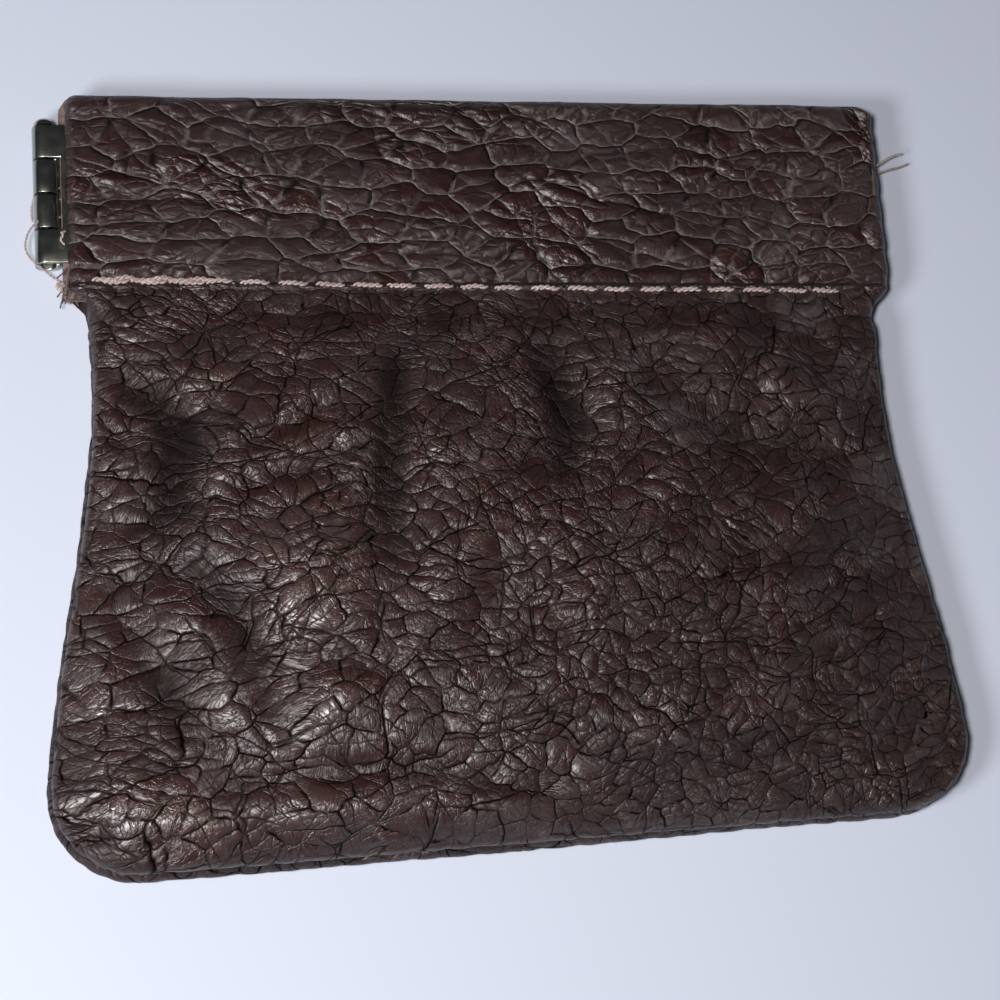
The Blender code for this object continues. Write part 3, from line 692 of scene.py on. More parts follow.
@dataclass
class PurseShape:
    """Sizes and curves of the sewn leather. What the frame states is read from it."""

    leather: float = 1.0 * MM
    hem_leather: float = 0.5 * MM
    edge_roll: float = 1.15 * MM
    roll_degrees: float = 145.0
    seam_z: float = 0.15 * MM
    hem_z: float = 0.10 * MM
    corner_radius: float = 9.0 * MM
    bottom_rise: float = 3.8 * MM
    band_height: float = 20.8 * MM
    half_band: float = 42.9 * MM
    half_neck: float = 40.7 * MM
    half_bottom: float = 46.6 * MM
    fold_tuck: float = 0.8 * MM
    stitch_dip: float = 0.55 * MM
    dip_width: float = 1.1 * MM
    curl_start: float = 1.5 * MM
    curl_length: float = 5.0 * MM
    front_crown: float = 8.0 * MM
    back_crown: float = 3.5 * MM
    hem_below_stitch: float = 0.9 * MM
    hem_past_left: float = 0.45 * MM
    first_hole: float = -40.7 * MM
    band_round: float = 1.15 * MM
    stitch_pitch: float = 3.75 * MM
    seam_pitch: float = 3.4 * MM
    hole_depth: float = 0.10 * MM
    slant: float = 0.5 * MM
    slant_lift: float = 0.05 * MM
    slant_x: float = -15.0 * MM
    slant_length: float = 22.0 * MM
    side_power: float = 2.6
    crown_shift: float = 0.85
    crown_power: float = 0.7
    bow_width: float = 0.98
    bow_rise: float = 0.62
    flare_shares: tuple[float, ...] = (0.10, 0.00, 0.05, 0.24, 0.50, 0.74, 0.91, 1.00)
    height: float = field(init=False)
    parting: float = field(init=False)
    stitch_y: float = field(init=False)
    fold_radius: float = field(init=False)
    fold_y: float = field(init=False)
    pin_x: dict[End, float] = field(init=False)

    def __post_init__(self) -> None:
        """Reads the frame and works out the rest."""
        self.height = 2.0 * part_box("front_panel")[1].y
        left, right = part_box("left_hinge_pin"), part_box("right_hinge_pin")
        self.parting = (left[0].z + left[1].z) / 2
        self.pin_x = {End.LEFT: (left[0].x + left[1].x) / 2, End.RIGHT: (right[0].x + right[1].x) / 2}
        self.stitch_y = self.height - self.band_height
        self.fold_radius = (self.parting - self.hem_z) / 2
        self.fold_y = self.height - self.fold_radius

    def half_width(self, y: np.ndarray) -> np.ndarray:
        """Half the panel's width at heights up from the bottom seam."""
        stations = np.linspace(0.0, 1.0, len(self.flare_shares))
        widths = self.half_neck + (self.half_bottom - self.half_neck) * np.array(self.flare_shares)
        fine = np.linspace(0.0, 1.0, 8 * len(self.flare_shares))
        padded = np.pad(np.interp(fine, stations, widths), 4, mode="edge")
        eased = np.convolve(padded, np.ones(9) / 9, mode="valid")
        body = np.interp((self.stitch_y - y) / self.stitch_y, fine, eased)
        up = smooth((y - self.stitch_y) / (2 * self.dip_width) + 1)
        return body + (self.half_band - body) * up

    def roll_length(self) -> float:
        """Length of leather in a rolled edge, from the seam round to the body."""
        return self.edge_roll * math.radians(self.roll_degrees)

    def curl(self, row: np.ndarray | float) -> np.ndarray:
        """How far the leather has left the flat casing at heights up the sheet, from 0 to 1."""
        up = row - self.roll_gain()
        return smooth((self.stitch_y - self.curl_start - up) / self.curl_length)

    def roll(self, run: np.ndarray, share: np.ndarray | float = 1.0) -> tuple:
        """The rolled edge's profile.

        Args:
            run: Distance along the leather from the seam, inside the groove, round the roll.
            share: How far the edge is rolled up, from flat at 0 to full at 1.

        Returns:
            Distance in from the purse's outline, height above the seam, and how far the leather has
            gone past the roll.
        """
        share = np.maximum(share, 1e-3)
        start = math.pi * (1 - share)
        rate = share / self.edge_roll
        turn = start + rate * np.minimum(run, self.roll_length())
        past = np.maximum(run - self.roll_length(), 0.0)
        outmost = np.where(start < math.pi / 2, (1 - np.sin(start)) / rate, 0.0)
        inset = (np.sin(start) - np.sin(turn)) / rate + outmost + past
        return inset, (np.cos(start) - np.cos(turn)) / rate, past

    def roll_gain(self) -> float:
        """How much longer the sheet is than the panel, at each rolled edge."""
        length = self.roll_length()
        return length - self.edge_roll * (1 - math.sin(math.radians(self.roll_degrees)))

    def half_sheet(self) -> float:
        """Half the widest part of the sheet, with its rolled edge laid out flat."""
        return self.half_bottom + self.roll_gain()

    def place(self, column: np.ndarray, row: np.ndarray) -> tuple[np.ndarray, np.ndarray]:
        """Where the sheet's grid points lie on the sewn-up panel, with Y up from the bottom seam.

        Args:
            column: How far across the flat sheet each point is, from its middle.
            row: How far up the flat sheet each point is, from its bottom edge.

        Returns:
            X and Y of each point.
        """
        side = np.where(column >= 0, 1.0, -1.0)
        inner = self.half_bottom - self.corner_radius
        from_side = self.half_sheet() - np.abs(column)
        reach = self.corner_radius + self.roll_gain()
        across, down = reach - from_side, reach - row
        ring = np.maximum(np.maximum(across, down), 1e-9)
        quarter = math.pi / 4
        low = np.maximum(np.minimum(across, down), 0.0) / ring
        turn = np.where(across >= down, quarter * low, 2 * quarter - quarter * low)
        corner = (across > 0) & (down > 0)
        radius = self.corner_radius - self.roll(np.minimum(from_side, row))[0]
        curl = self.curl(row)
        whole = self.roll(self.half_sheet(), curl)[0]
        across = self.half_bottom * (1 - self.roll(from_side, curl)[0] / whole) - inner
        x = inner + np.where(corner, radius * np.cos(turn), across)
        y = self.corner_radius - np.where(corner, radius * np.sin(turn),
                                          self.corner_radius - self.roll(row)[0])
        x = side * x * self.half_width(y) / self.half_bottom
        climb = self.bottom_rise * np.clip((x + inner) / (2 * inner), 0.0, 1.0)
        return x, y + climb * np.maximum(0.0, 1 - y / self.stitch_y)

    def belly(self, column: np.ndarray, row: np.ndarray, face: Face) -> np.ndarray:
        """Height of the outer leather inside the rolled edges, up to its crown."""
        from_side = self.half_sheet() - np.abs(column)
        half_body = self.half_sheet() - self.roll_length()
        across = 1 - (np.maximum(half_body - self.roll(from_side)[2], 0.0) / half_body) ** self.side_power
        body = self.stitch_y + self.roll_gain() - self.roll_length()
        up = np.clip(self.roll(row)[2] / body, 0.0, 1.0)
        along = np.sin(np.pi * up ** self.crown_shift) ** self.crown_power
        crown = self.front_crown if face is Face.FRONT else self.back_crown
        shoulder = self.seam_z + float(self.roll(np.array(self.roll_length()))[1])
        return shoulder + (crown - self.seam_z - 2 * self.edge_roll) * across * along

    def edge_drop(self, column: np.ndarray) -> np.ndarray:
        """How far the casing's rounded side edges turn down."""
        near = np.clip(1 - (self.half_sheet() - np.abs(column)) / self.band_round, 0.0, 0.97)
        return self.band_round * (1 - np.sqrt(1 - near ** 2))

    def stitch_slant(self, x: np.ndarray | float) -> np.ndarray:
        """How far the hem's stitch line strays from its straight line, up at the left end."""
        return self.slant_lift - self.slant * np.tanh((x - self.slant_x) / self.slant_length)

    def skin(self, column: np.ndarray, row: np.ndarray, face: Face) -> np.ndarray:
        """Height of the outer leather anywhere below the fold of the mouth."""
        up = row - self.roll_gain()
        off = (up - self.stitch_y - self.stitch_slant(column)) / self.dip_width
        hole = np.cos(2 * np.pi * (column - self.first_hole) / self.stitch_pitch)
        band = self.parting - self.stitch_dip * np.exp(-off ** 2) * (0.8 + 0.2 * hole)
        band = band - self.hole_depth * np.exp(-((off + 0.9) / 1.1) ** 2) * np.clip(hole, 0.0, 1.0) ** 3
        curl = self.curl(row)
        near = np.minimum(self.half_sheet() - np.abs(column), row)
        drop = self.roll(np.array(self.roll_length()), curl)[1] - self.roll(near, curl)[1]
        body = band + (self.belly(column, row, face) - band) * curl
        return body - drop - self.edge_drop(column) * (1 - curl)

    def opening(self, x: np.ndarray, y: np.ndarray, face: Face) -> np.ndarray:
        """How far points follow the front panel when the mouth opens: 1 in the middle of the front,
        0 in the middle of the back and half at the side edges and along the bottom.

        Args:
            x: X of each point.
            y: Y of each point, from the middle of the purse.
            face: The side of the purse.

        Returns:
            The share for each point.
        """
        up = y + self.height / 2
        reach = np.maximum(self.half_width(up), self.half_band * self.bow_width)
        bow = np.cos(np.pi / 2 * np.clip(np.abs(x) / reach, 0.0, 1.0))
        rise = smooth(up / (self.bow_rise * self.stitch_y))
        return 0.5 + 0.5 * face.value * bow * rise

    def seam_run(self, column: np.ndarray, row: np.ndarray) -> np.ndarray:
        """Distance along the side and bottom seam, from the middle of the bottom."""
        edge = self.half_sheet() - np.abs(column)
        return np.where(row < edge, np.abs(column), np.abs(column) + row - edge)


SHAPE = PurseShape()


def store(mesh: bpy.types.Mesh, name: str, values: np.ndarray) -> None:
    """Stores a number or a vector on each point of a mesh."""
    kind, key = ("FLOAT", "value") if values.ndim == 1 else ("FLOAT_VECTOR", "vector")
    attribute = mesh.attributes.new(name, kind, "POINT")
    attribute.data.foreach_set(key, values.ravel().astype(np.float32))


def follow_mouth(piece: bpy.types.Object, face: Face | None) -> None:
    """Bakes a finished piece's place into its points and works out how far each would follow the front
    panel as the mouth opens; the shares are not kept.

    Args:
        piece: A mesh whose place is in its points.
        face: The side of the purse that it is on, or None for what is sewn into the side seams.
    """
    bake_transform(piece)
    points = np.zeros(len(piece.data.vertices) * 3)
    piece.data.vertices.foreach_get("co", points)
    points = points.reshape(-1, 3)
    if face is None:
        share = np.full(len(points), 0.5)
    else:
        share = SHAPE.opening(points[:, 0], points[:, 1], face)


@dataclass
class LeatherPanel:
    """One leather panel: outer skin, rolled side and bottom edges, the fold at the mouth and the hem
    that is stitched down inside as a casing. The grain side is a fine grid and the flesh side a coarse
    one, joined round the rim into one closed sheet."""

    face: Face
    grain_material: bpy.types.Material
    flesh_material: bpy.types.Material
    columns: int = 320
    belly_rows: int = 189
    band_rows: int = 65
    roll_steps: int = 14
    fold_steps: int = 12
    hem_rows: int = 8
    coarse: int = 4
    hem_short: float = 2.85 * MM
    overhang_depth: float = 0.45 * MM
    grain_level: float = 0.11 * MM
    least_thickness: float = 0.15 * MM
    back_clearance: float = 0.02 * MM
    shade_depth: float = 1.3 * MM
    # How fast the grain gets denser to the right: along X, more along X lower down, and along Y there.
    squeeze: tuple[float, float, float] = (0.0018, 0.0030, 0.0035)
    # The casing's stretch of the pattern: its scale, its squeeze and how far it is moved.
    casing_scale: tuple[float, float] = (0.58, 0.80)
    casing_squeeze: float = 0.0010
    casing_shift: tuple[float, float] = (90.0, 6.0)
    back_shift: float = 170.0
    # The least pucker at a stitch and the spread of the others, in millimetres.
    puckers: tuple[float, float] = (0.05, 0.15)
    draws: int = 256
    # Where the overhang ends and over what length it fades: X, and distance below the stitch line.
    overhang_right: tuple[float, float] = (25.0 * MM, 30.0 * MM)
    overhang_top: tuple[float, float] = (8.0 * MM, 10.0 * MM)

    @property
    def name(self) -> str:
        """Name of the piece."""
        return "front_leather" if self.face is Face.FRONT else "back_leather"

    def roll_places(self) -> np.ndarray:
        """Distances along the leather of the grid lines on a rolled edge, from the seam."""
        return np.linspace(0.0, SHAPE.roll_length(), self.roll_steps + 1)

    def column_places(self) -> np.ndarray:
        """The grid lines across the sheet, closer together on the rolled edges."""
        roll = self.roll_places()
        edge = SHAPE.half_sheet() - roll
        inner = np.linspace(-edge[-1], edge[-1], self.columns - 2 * self.roll_steps + 1)[1:-1]
        return np.concatenate([-edge, inner, edge[::-1]])

    def rows(self) -> list[tuple[str, float]]:
        """The grid's rows from the hem's end over the fold to the bottom seam: the stretch that each
        is on, and its height up the sheet or its turn round the fold."""
        shape = SHAPE
        hem_end = shape.stitch_y - shape.hem_below_stitch
        rows = [("hem", y) for y in np.linspace(hem_end, shape.fold_y, self.hem_rows + 1)[:-1]]
        rows += [("fold", turn) for turn in np.linspace(-math.pi / 2, math.pi / 2, self.fold_steps + 1)]
        gain = shape.roll_gain()
        fold, stitch = shape.fold_y + gain, shape.stitch_y + gain
        rows += [("skin", y) for y in np.linspace(fold, stitch, self.band_rows + 1)[1:]]
        roll = self.roll_places()
        rows += [("skin", y) for y in np.linspace(stitch, roll[-1], self.belly_rows + 1)[1:]]
        rows += [("skin", y) for y in roll[::-1][1:]]
        return rows

    def hem_line(self, columns: np.ndarray) -> np.ndarray:
        """X of the hem's points, which stop short of the knuckles at the right."""
        left = -SHAPE.half_band - SHAPE.hem_past_left
        right = min(SHAPE.half_band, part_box("front_strip_right")[1].x - self.hem_short)
        return left + (right - left) * (columns / SHAPE.half_sheet() + 1) / 2

    def base(self) -> tuple[np.ndarray, np.ndarray, np.ndarray]:
        """The smooth grain side.

        Returns:
            Points by row and column, the leather's thickness at each row, and the distance up the
            unfolded sheet of each row.
        """
        shape = SHAPE
        columns = self.column_places()
        top = shape.fold_y + shape.roll_gain()
        points, thickness, unrolled = [], [], []
        for kind, value in self.rows():
            if kind == "hem":
                x = self.hem_line(columns)
                y = np.full_like(x, value)
                z = np.full_like(x, shape.hem_z)
                thickness.append(shape.hem_leather)
                unrolled.append(top + shape.fold_radius * math.pi + shape.fold_y - value)
            elif kind == "fold":
                hem_x = self.hem_line(columns)
                band_x = columns * shape.half_band / shape.half_sheet()
                out = (1 + math.sin(value)) / 2
                tuck = 1 - shape.fold_tuck * math.cos(value) / shape.half_band
                x = (hem_x + (band_x - hem_x) * out) * tuck
                y = np.full_like(x, shape.fold_y + shape.fold_radius * math.cos(value))
                z = shape.hem_z + shape.fold_radius * (1 + math.sin(value)) - shape.edge_drop(columns) * out
                thickness.append(shape.hem_leather + (shape.leather - shape.hem_leather) * out)
                unrolled.append(top + shape.fold_radius * (math.pi / 2 - value))
            else:
                row = np.full_like(columns, value)
                x, y = shape.place(columns, row)
                z = shape.skin(columns, row, self.face)
                thickness.append(shape.leather)
                unrolled.append(value)
            points.append(np.stack([x, y - shape.height / 2, z], axis=1))
        return np.array(points), np.array(thickness), np.array(unrolled)

    def normals(self, points: np.ndarray) -> np.ndarray:
        """Outward normals of a grid of points."""
        down = np.gradient(points, axis=0)
        across = np.gradient(points, axis=1)
        normal = np.cross(down, across)
        return normal / np.maximum(np.linalg.norm(normal, axis=2, keepdims=True), 1e-12)

    def grain_places(self, points: np.ndarray, unrolled: np.ndarray) -> np.ndarray:
        """The grain's own coordinates in millimetres: along the leather, denser to the lower right,
        where the hide's grain is finer, and on a stretch of the pattern of its own in the casing."""
        x = points[:, :, 0] / MM
        half = SHAPE.height / MM / 2
        y = (unrolled[:, None] + np.zeros_like(x)) / MM - half
        lower = smooth((20.0 - y) / 55.0)
        along_x, low_along_x, low_along_y = self.squeeze
        u = x + (along_x + low_along_x * lower) * x * x
        v = y * (1.0 + low_along_y * x * lower)
        band = unrolled[:, None] > SHAPE.stitch_y + SHAPE.roll_gain()
        wide, tall = self.casing_scale
        u = np.where(band, wide * x + self.casing_squeeze * x * x + self.casing_shift[0], u)
        v = np.where(band, tall * (v - half) + half + self.casing_shift[1], v)
        side = 0.0 if self.face is Face.FRONT else self.back_shift
        return np.stack([u + side, v, np.zeros_like(u)], axis=2)

    def relief(self, places: np.ndarray) -> tuple[np.ndarray, np.ndarray]:
        """Runs the grain's geometry group over a grid of the sheet.

        Args:
            places: The grain's coordinates by row and column.

        Returns:
            Relief and slow swell at each point, in metres.
        """
        count = places.shape[0] * places.shape[1]
        mesh = bpy.data.meshes.new("relief_points")
        mesh.vertices.add(count)
        store(mesh, GRAIN_PLACE, places.reshape(-1, 3))
        carrier = bpy.data.objects.new("relief_points", mesh)
        bpy.context.scene.collection.objects.link(carrier)
        modifier = carrier.modifiers.new("relief", "NODES")
        modifier.node_group = relief_group()
        result = carrier.evaluated_get(bpy.context.evaluated_depsgraph_get()).data
        found = []
        for name in ("relief", "swell"):
            values = np.zeros(count, np.float32)
            result.attributes[name].data.foreach_get("value", values)
            found.append(values.reshape(places.shape[:2]).astype(float) * MM)
        bpy.data.objects.remove(carrier)
        bpy.data.meshes.remove(mesh)
        return found[0], found[1]

    def folds(self, points: np.ndarray) -> np.ndarray:
        """Height of the soft folds, fading out towards the edges and the casing."""
        x, y = points[:, :, 0], points[:, :, 1] + SHAPE.height / 2
        height = np.zeros_like(x)
        for fold in MAIN_FOLDS + SMALL_FOLDS if self.face is Face.FRONT else BACK_FOLDS:
            height += fold.height(x, y, SHAPE.half_bottom, SHAPE.stitch_y)
        return height

    def pucker(self, columns: np.ndarray, rows: np.ndarray) -> np.ndarray:
        """How far the rolled edge is drawn in at each stitch of the side and bottom seam."""
        run = SHAPE.seam_run(columns, rows) / SHAPE.seam_pitch + 0.35 * np.sign(columns)
        stitch = np.clip(np.floor(run).astype(int) + self.draws // 4, 0, self.draws - 1)
        seed = 5 if self.face is Face.FRONT else 9
        least, spread = self.puckers
        depth = (least + spread * hashed(self.draws, seed))[stitch] * MM
        near = np.minimum(SHAPE.half_sheet() - np.abs(columns), rows)
        fade = 1 - smooth(near / (1.5 * SHAPE.roll_length()))
        return depth * (0.5 + 0.5 * np.cos(2 * np.pi * run)) ** 2 * fade

    def overhang(self, columns: np.ndarray, rows: np.ndarray) -> np.ndarray:
        """How far the back's rolled edge stands out past the front's, round the lower left."""
        if self.face is Face.FRONT:
            return np.zeros_like(columns)
        near = np.minimum(SHAPE.half_sheet() - np.abs(columns), rows)
        fade = 1 - smooth(near / (1.6 * SHAPE.roll_length()))
        right, right_fade = self.overhang_right
        top, top_fade = self.overhang_top
        left = smooth((right - columns) / right_fade)
        low = smooth((SHAPE.stitch_y - top - rows) / top_fade)
        return self.overhang_depth * fade * left * low

    def shaped(self) -> tuple[np.ndarray, ...]:
        """The finished grain side.

        Returns:
            Its points, the flesh side's points on the coarse grid, the grain's coordinates and the folds'
            painted shade at each point, negative where they bulge for painted highlight.
        """
        shape = SHAPE
        points, thickness, unrolled = self.base()
        normal = self.normals(points)
        places = self.grain_places(points, unrolled)
        relief, swell = self.relief(places)
        columns = self.column_places()[None, :] + np.zeros(points.shape[:2])
        rows = unrolled[:, None] + np.zeros(points.shape[:2])
        skin = np.array([kind == "skin" for kind, _ in self.rows()])[:, None]
        edge = np.minimum(shape.half_sheet() - np.abs(columns), rows)
        up = rows - shape.roll_gain()
        body = smooth((shape.stitch_y - shape.curl_start - up) / (2 * shape.curl_length)) * skin
        inner = body * smooth((edge - shape.roll_gain()) / (4.3 * MM))
        folds = self.folds(points) * inner
        lift = folds + swell * inner
        above = np.clip(up - shape.fold_y, 0.0, None)
        outer = 1 - smooth(above / (2.4 * shape.fold_radius))
        rim = 0.35 + 0.65 * smooth(edge / (1.5 * shape.roll_length()))
        line = shape.stitch_y + shape.stitch_slant(columns)
        stitched = 1 - 0.75 * np.exp(-((up - line) / (0.7 * MM)) ** 2)
        grain = (relief - self.grain_level) * outer * np.where(up < shape.stitch_y, rim, 1.0) * stitched
        base = points.copy()
        base[:, :, 2] += lift
        pull = (self.pucker(columns, rows) - self.overhang(columns, rows)) * skin
        base[:, :, :2] -= normal[:, :, :2] * pull[:, :, None]
        if self.face is Face.BACK:
            base[:, :, 2] = np.minimum(base[:, :, 2], shape.parting - self.back_clearance)
        moved = base + normal * grain[:, :, None]
        if self.face is Face.BACK:
            moved[:, :, 2] = np.minimum(moved[:, :, 2], shape.parting)
        step = self.coarse
        flesh = base - normal * thickness[:, None, None]
        thin = np.minimum(flesh[:, :, 2], base[:, :, 2] - self.least_thickness)
        flesh[:, :, 2] = np.where(normal[:, :, 2] > 0.1, thin, flesh[:, :, 2])
        flesh = flesh[::step, ::step]
        flesh[:, :, 2] = np.maximum(flesh[:, :, 2], min(shape.seam_z, shape.hem_z))
        # Painted shade in the fold valleys, with negative values where the folds bulge, for painted
        # highlight.
        shade = np.clip(-folds / self.shade_depth, -1.0, 1.0)
        return moved, flesh, places, shade

    def build(self) -> bpy.types.Object:
        """Makes the sheet as one closed mesh and puts it in the frame."""
        grain, flesh, places, shade = self.shaped()
        down, across = grain.shape[0] - 1, grain.shape[1] - 1
        step = self.coarse
        points = np.concatenate([grain.reshape(-1, 3), flesh.reshape(-1, 3)])
        points[:, 2] = SHAPE.parting + self.face.value * points[:, 2]
        index = np.arange(grain.shape[0] * grain.shape[1]).reshape(grain.shape[:2])
        under = index.size + np.arange(flesh.shape[0] * flesh.shape[1]).reshape(flesh.shape[:2])
        top = np.stack([index[:-1, :-1], index[1:, :-1], index[1:, 1:], index[:-1, 1:]], axis=-1)
        below = np.stack([under[:-1, :-1], under[:-1, 1:], under[1:, 1:], under[1:, :-1]], axis=-1)
        faces = [tuple(quad) for quad in top.reshape(-1, 4)]
        grain_faces = len(faces)
        faces += [tuple(quad) for quad in below.reshape(-1, 4)]
        rim = [(0, j) for j in range(0, across, step)] + [(i, across) for i in range(0, down, step)]
        rim += [(down, j) for j in range(across, 0, -step)] + [(i, 0) for i in range(down, 0, -step)]
        for (i, j), (k, m) in zip(rim, rim[1:] + rim[:1]):
            to_down, to_across = int(np.sign(k - i)), int(np.sign(m - j))
            fine = [index[i + to_down * t, j + to_across * t] for t in range(step)]
            faces.append((*fine, index[k, m], under[k // step, m // step], under[i // step, j // step]))
        if self.face is Face.BACK:
            faces = [quad[::-1] for quad in faces]
        mesh = bpy.data.meshes.new(self.name)
        mesh.from_pydata(points.tolist(), [], faces)
        slots = np.ones(len(faces), np.int32)
        slots[:grain_faces] = 0
        kinds = [kind for kind, _ in self.rows()]
        for number, (i, _) in enumerate(rim):
            slots[len(faces) - len(rim) + number] = 0 if kinds[i] == "skin" and i < down else 1
        mesh.materials.append(self.grain_material)
        mesh.materials.append(self.flesh_material)
        mesh.polygons.foreach_set("material_index", slots)
        coarse_places = places[::step, ::step]
        store(mesh, GRAIN_PLACE, np.concatenate([places.reshape(-1, 3), coarse_places.reshape(-1, 3)]))
        store(mesh, FOLD_SHADE, np.concatenate([shade.ravel(), np.zeros(under.size)]))
        mesh.shade_smooth()
        panel = bpy.data.objects.new(self.name, mesh)
        bpy.context.scene.collection.objects.link(panel)
        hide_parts("front_panel" if self.face is Face.FRONT else "back_panel")
        follow_mouth(panel, self.face)
        return panel


# Spring frame.

SHARP_EDGE = math.radians(40)
BEVELLED_EDGE = math.radians(50)


def finish_metal(piece: bpy.types.Object, material: bpy.types.Material) -> None:
    """Turns the active piece's faces outwards, smooths all but its sharp edges and dresses it."""
    bpy.ops.object.mode_set(mode="EDIT")
    bpy.ops.mesh.select_all(action="SELECT")
    bpy.ops.mesh.normals_make_consistent(inside=False)
    bpy.ops.object.mode_set(mode="OBJECT")
    bpy.ops.object.shade_smooth_by_angle(angle=SHARP_EDGE)
    piece.data.materials.append(material)


@dataclass
class SpringFrame:
    """The two spring strips with their rolled knuckles, and the two pins that join them."""

    material: bpy.types.Material
    pin_material: bpy.types.Material
    thickness: float = 0.4 * MM
    bore: float = 0.85 * MM
    knuckle_gap: float = 0.27 * MM
    leaf_clearance: float = 0.3 * MM
    squash: float = 2.8
    roll_degrees: float = 292.0
    roll_steps: int = 40
    tongue: float = 4.2 * MM
    leaf_steps: int = 4
    bevel: float = 0.07 * MM
    strip_end: float = 0.2 * MM
    strip_stations: int = 90
    shank: float = 0.6 * MM
    head_height: float = 0.9 * MM
    head_edge: float = 0.22

    def __post_init__(self) -> None:
        """Reads the strip's place along the pins."""
        low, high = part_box("front_strip_left")
        self.bottom, self.width = low.y, high.y - low.y
        self.knuckle = (self.width - 3 * self.knuckle_gap) / 4

    def spans(self, face: Face) -> list[tuple[float, float]]:
        """The stretches along the pin that hold a strip's own knuckles."""
        pitch = self.knuckle + self.knuckle_gap
        own = (0, 3) if face is Face.FRONT else (1, 2)
        return [(index * pitch, index * pitch + self.knuckle) for index in own]

    def lines(self, face: Face, step: float) -> list[float]:
        """Lines along the leaf, with one at every end of a knuckle and more between them."""
        ends = sorted({0.0, self.width} | {end for span in self.spans(face) for end in span})
        found = [0.0]
        for low, high in zip(ends, ends[1:]):
            parts = max(1, round((high - low) / step))
            found += list(np.linspace(low, high, parts + 1)[1:])
        return found

    def ribbon(self, name: str, path: np.ndarray, lines: Sequence[float],
               keep: Callable[[int, float], bool]) -> bpy.types.Object:
        """A bent ribbon of the strip's thickness with soft edges.

        Args:
            name: Name of the piece.
            path: X and Z of each station along the ribbon.
            lines: Y of each line, up from the strip's lower edge.
            keep: Says whether the quad after a station, at a height, is part of the ribbon.

        Returns:
            The piece, with its modifiers applied.
        """
        bpy.ops.object.select_all(action="DESELECT")
        bpy.ops.mesh.primitive_grid_add(x_subdivisions=len(path) - 1, y_subdivisions=len(lines) - 1, size=1)
        piece = bpy.context.object
        piece.name = piece.data.name = name
        across, along = np.meshgrid(np.arange(len(path)), np.arange(len(lines)))
        across, along = across.ravel(), along.ravel()
        points = np.stack([path[across, 0], self.bottom + np.array(lines)[along], path[across, 1]], axis=1)
        piece.data.vertices.foreach_set("co", points.ravel())
        for flags in (piece.data.vertices, piece.data.edges):
            flags.foreach_set("select", np.zeros(len(flags), bool))
        for polygon in piece.data.polygons:
            corners = list(polygon.vertices)
            middle = float(np.mean(np.array(lines)[along[corners]]))
            polygon.select = not keep(int(min(across[corners])), middle)
        if any(polygon.select for polygon in piece.data.polygons):
            bpy.ops.object.mode_set(mode="EDIT")
            bpy.ops.mesh.select_mode(type="FACE")
            bpy.ops.mesh.delete(type="FACE")
            bpy.ops.object.mode_set(mode="OBJECT")
        wall = piece.modifiers.new("wall", "SOLIDIFY")
        wall.thickness, wall.offset, wall.use_even_offset = self.thickness, 0.0, True
        soft = piece.modifiers.new("soft_edges", "BEVEL")
        soft.width, soft.segments, soft.angle_limit = self.bevel, 2, BEVELLED_EDGE
        for modifier in (wall.name, soft.name):
            bpy.ops.object.modifier_apply(modifier=modifier)
        finish_metal(piece, self.material)
        return piece

    def knuckle_path(self, face: Face, end: End) -> np.ndarray:
        """Stations of a short leaf and its knuckle, which is rolled tight with a flat top."""
        middle = self.bore + self.thickness / 2
        shoulder = self.bore + self.thickness + self.leaf_clearance
        steps = self.leaf_steps
        path = [(shoulder + self.tongue * (1 - step / steps), middle) for step in range(steps + 1)]
        for step in range(self.roll_steps + 1):
            turn = math.pi / 2 + math.radians(self.roll_degrees) * step / self.roll_steps
            x, z = math.cos(turn), math.sin(turn)
            length = (abs(x) ** self.squash + abs(z) ** self.squash) ** (1 / self.squash)
            path.append((middle * x / length, middle * z / length))
        points = np.array(path)
        points[:, 0] = SHAPE.pin_x[end] - end.value * points[:, 0]
        points[:, 1] = SHAPE.parting + face.value * points[:, 1]
        return points

    def knuckles(self, face: Face, end: End) -> bpy.types.Object:
        """One strip's knuckles at one end, on the leaf body that turns about the pin."""
        side = f"{face.name.lower()}_{end.name.lower()}"
        spans = self.spans(face)

        def keep(station: int, middle: float) -> bool:
            """The leaf is whole; past its shoulder only the knuckles are left."""
            return station < self.leaf_steps or any(low < middle < high for low, high in spans)

        path, lines = self.knuckle_path(face, end), self.lines(face, 1.2 * MM)
        piece = self.ribbon(f"{side}_knuckles", path, lines, keep)
        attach(piece, f"{side}_leaf")
        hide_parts(f"{face.name.lower()}_strip_{end.name.lower()}")
        return piece

    def strip(self, face: Face) -> bpy.types.Object:
        """The spring strip between its two ends."""
        middle = SHAPE.parting + face.value * (self.bore + self.thickness / 2)
        inset = self.bore + self.thickness + self.leaf_clearance + self.tongue + self.strip_end
        left, right = SHAPE.pin_x[End.LEFT] + inset, SHAPE.pin_x[End.RIGHT] - inset
        path = np.array([(x, middle) for x in np.linspace(left, right, self.strip_stations)])
        piece = self.ribbon(f"{face.name.lower()}_spring_strip", path, self.lines(face, 2.5 * MM),
                            lambda station, middle: True)
        name = face.name.lower()
        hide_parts(f"{name}_strip_left", f"{name}_strip_right")
        follow_mouth(piece, face)
        return piece

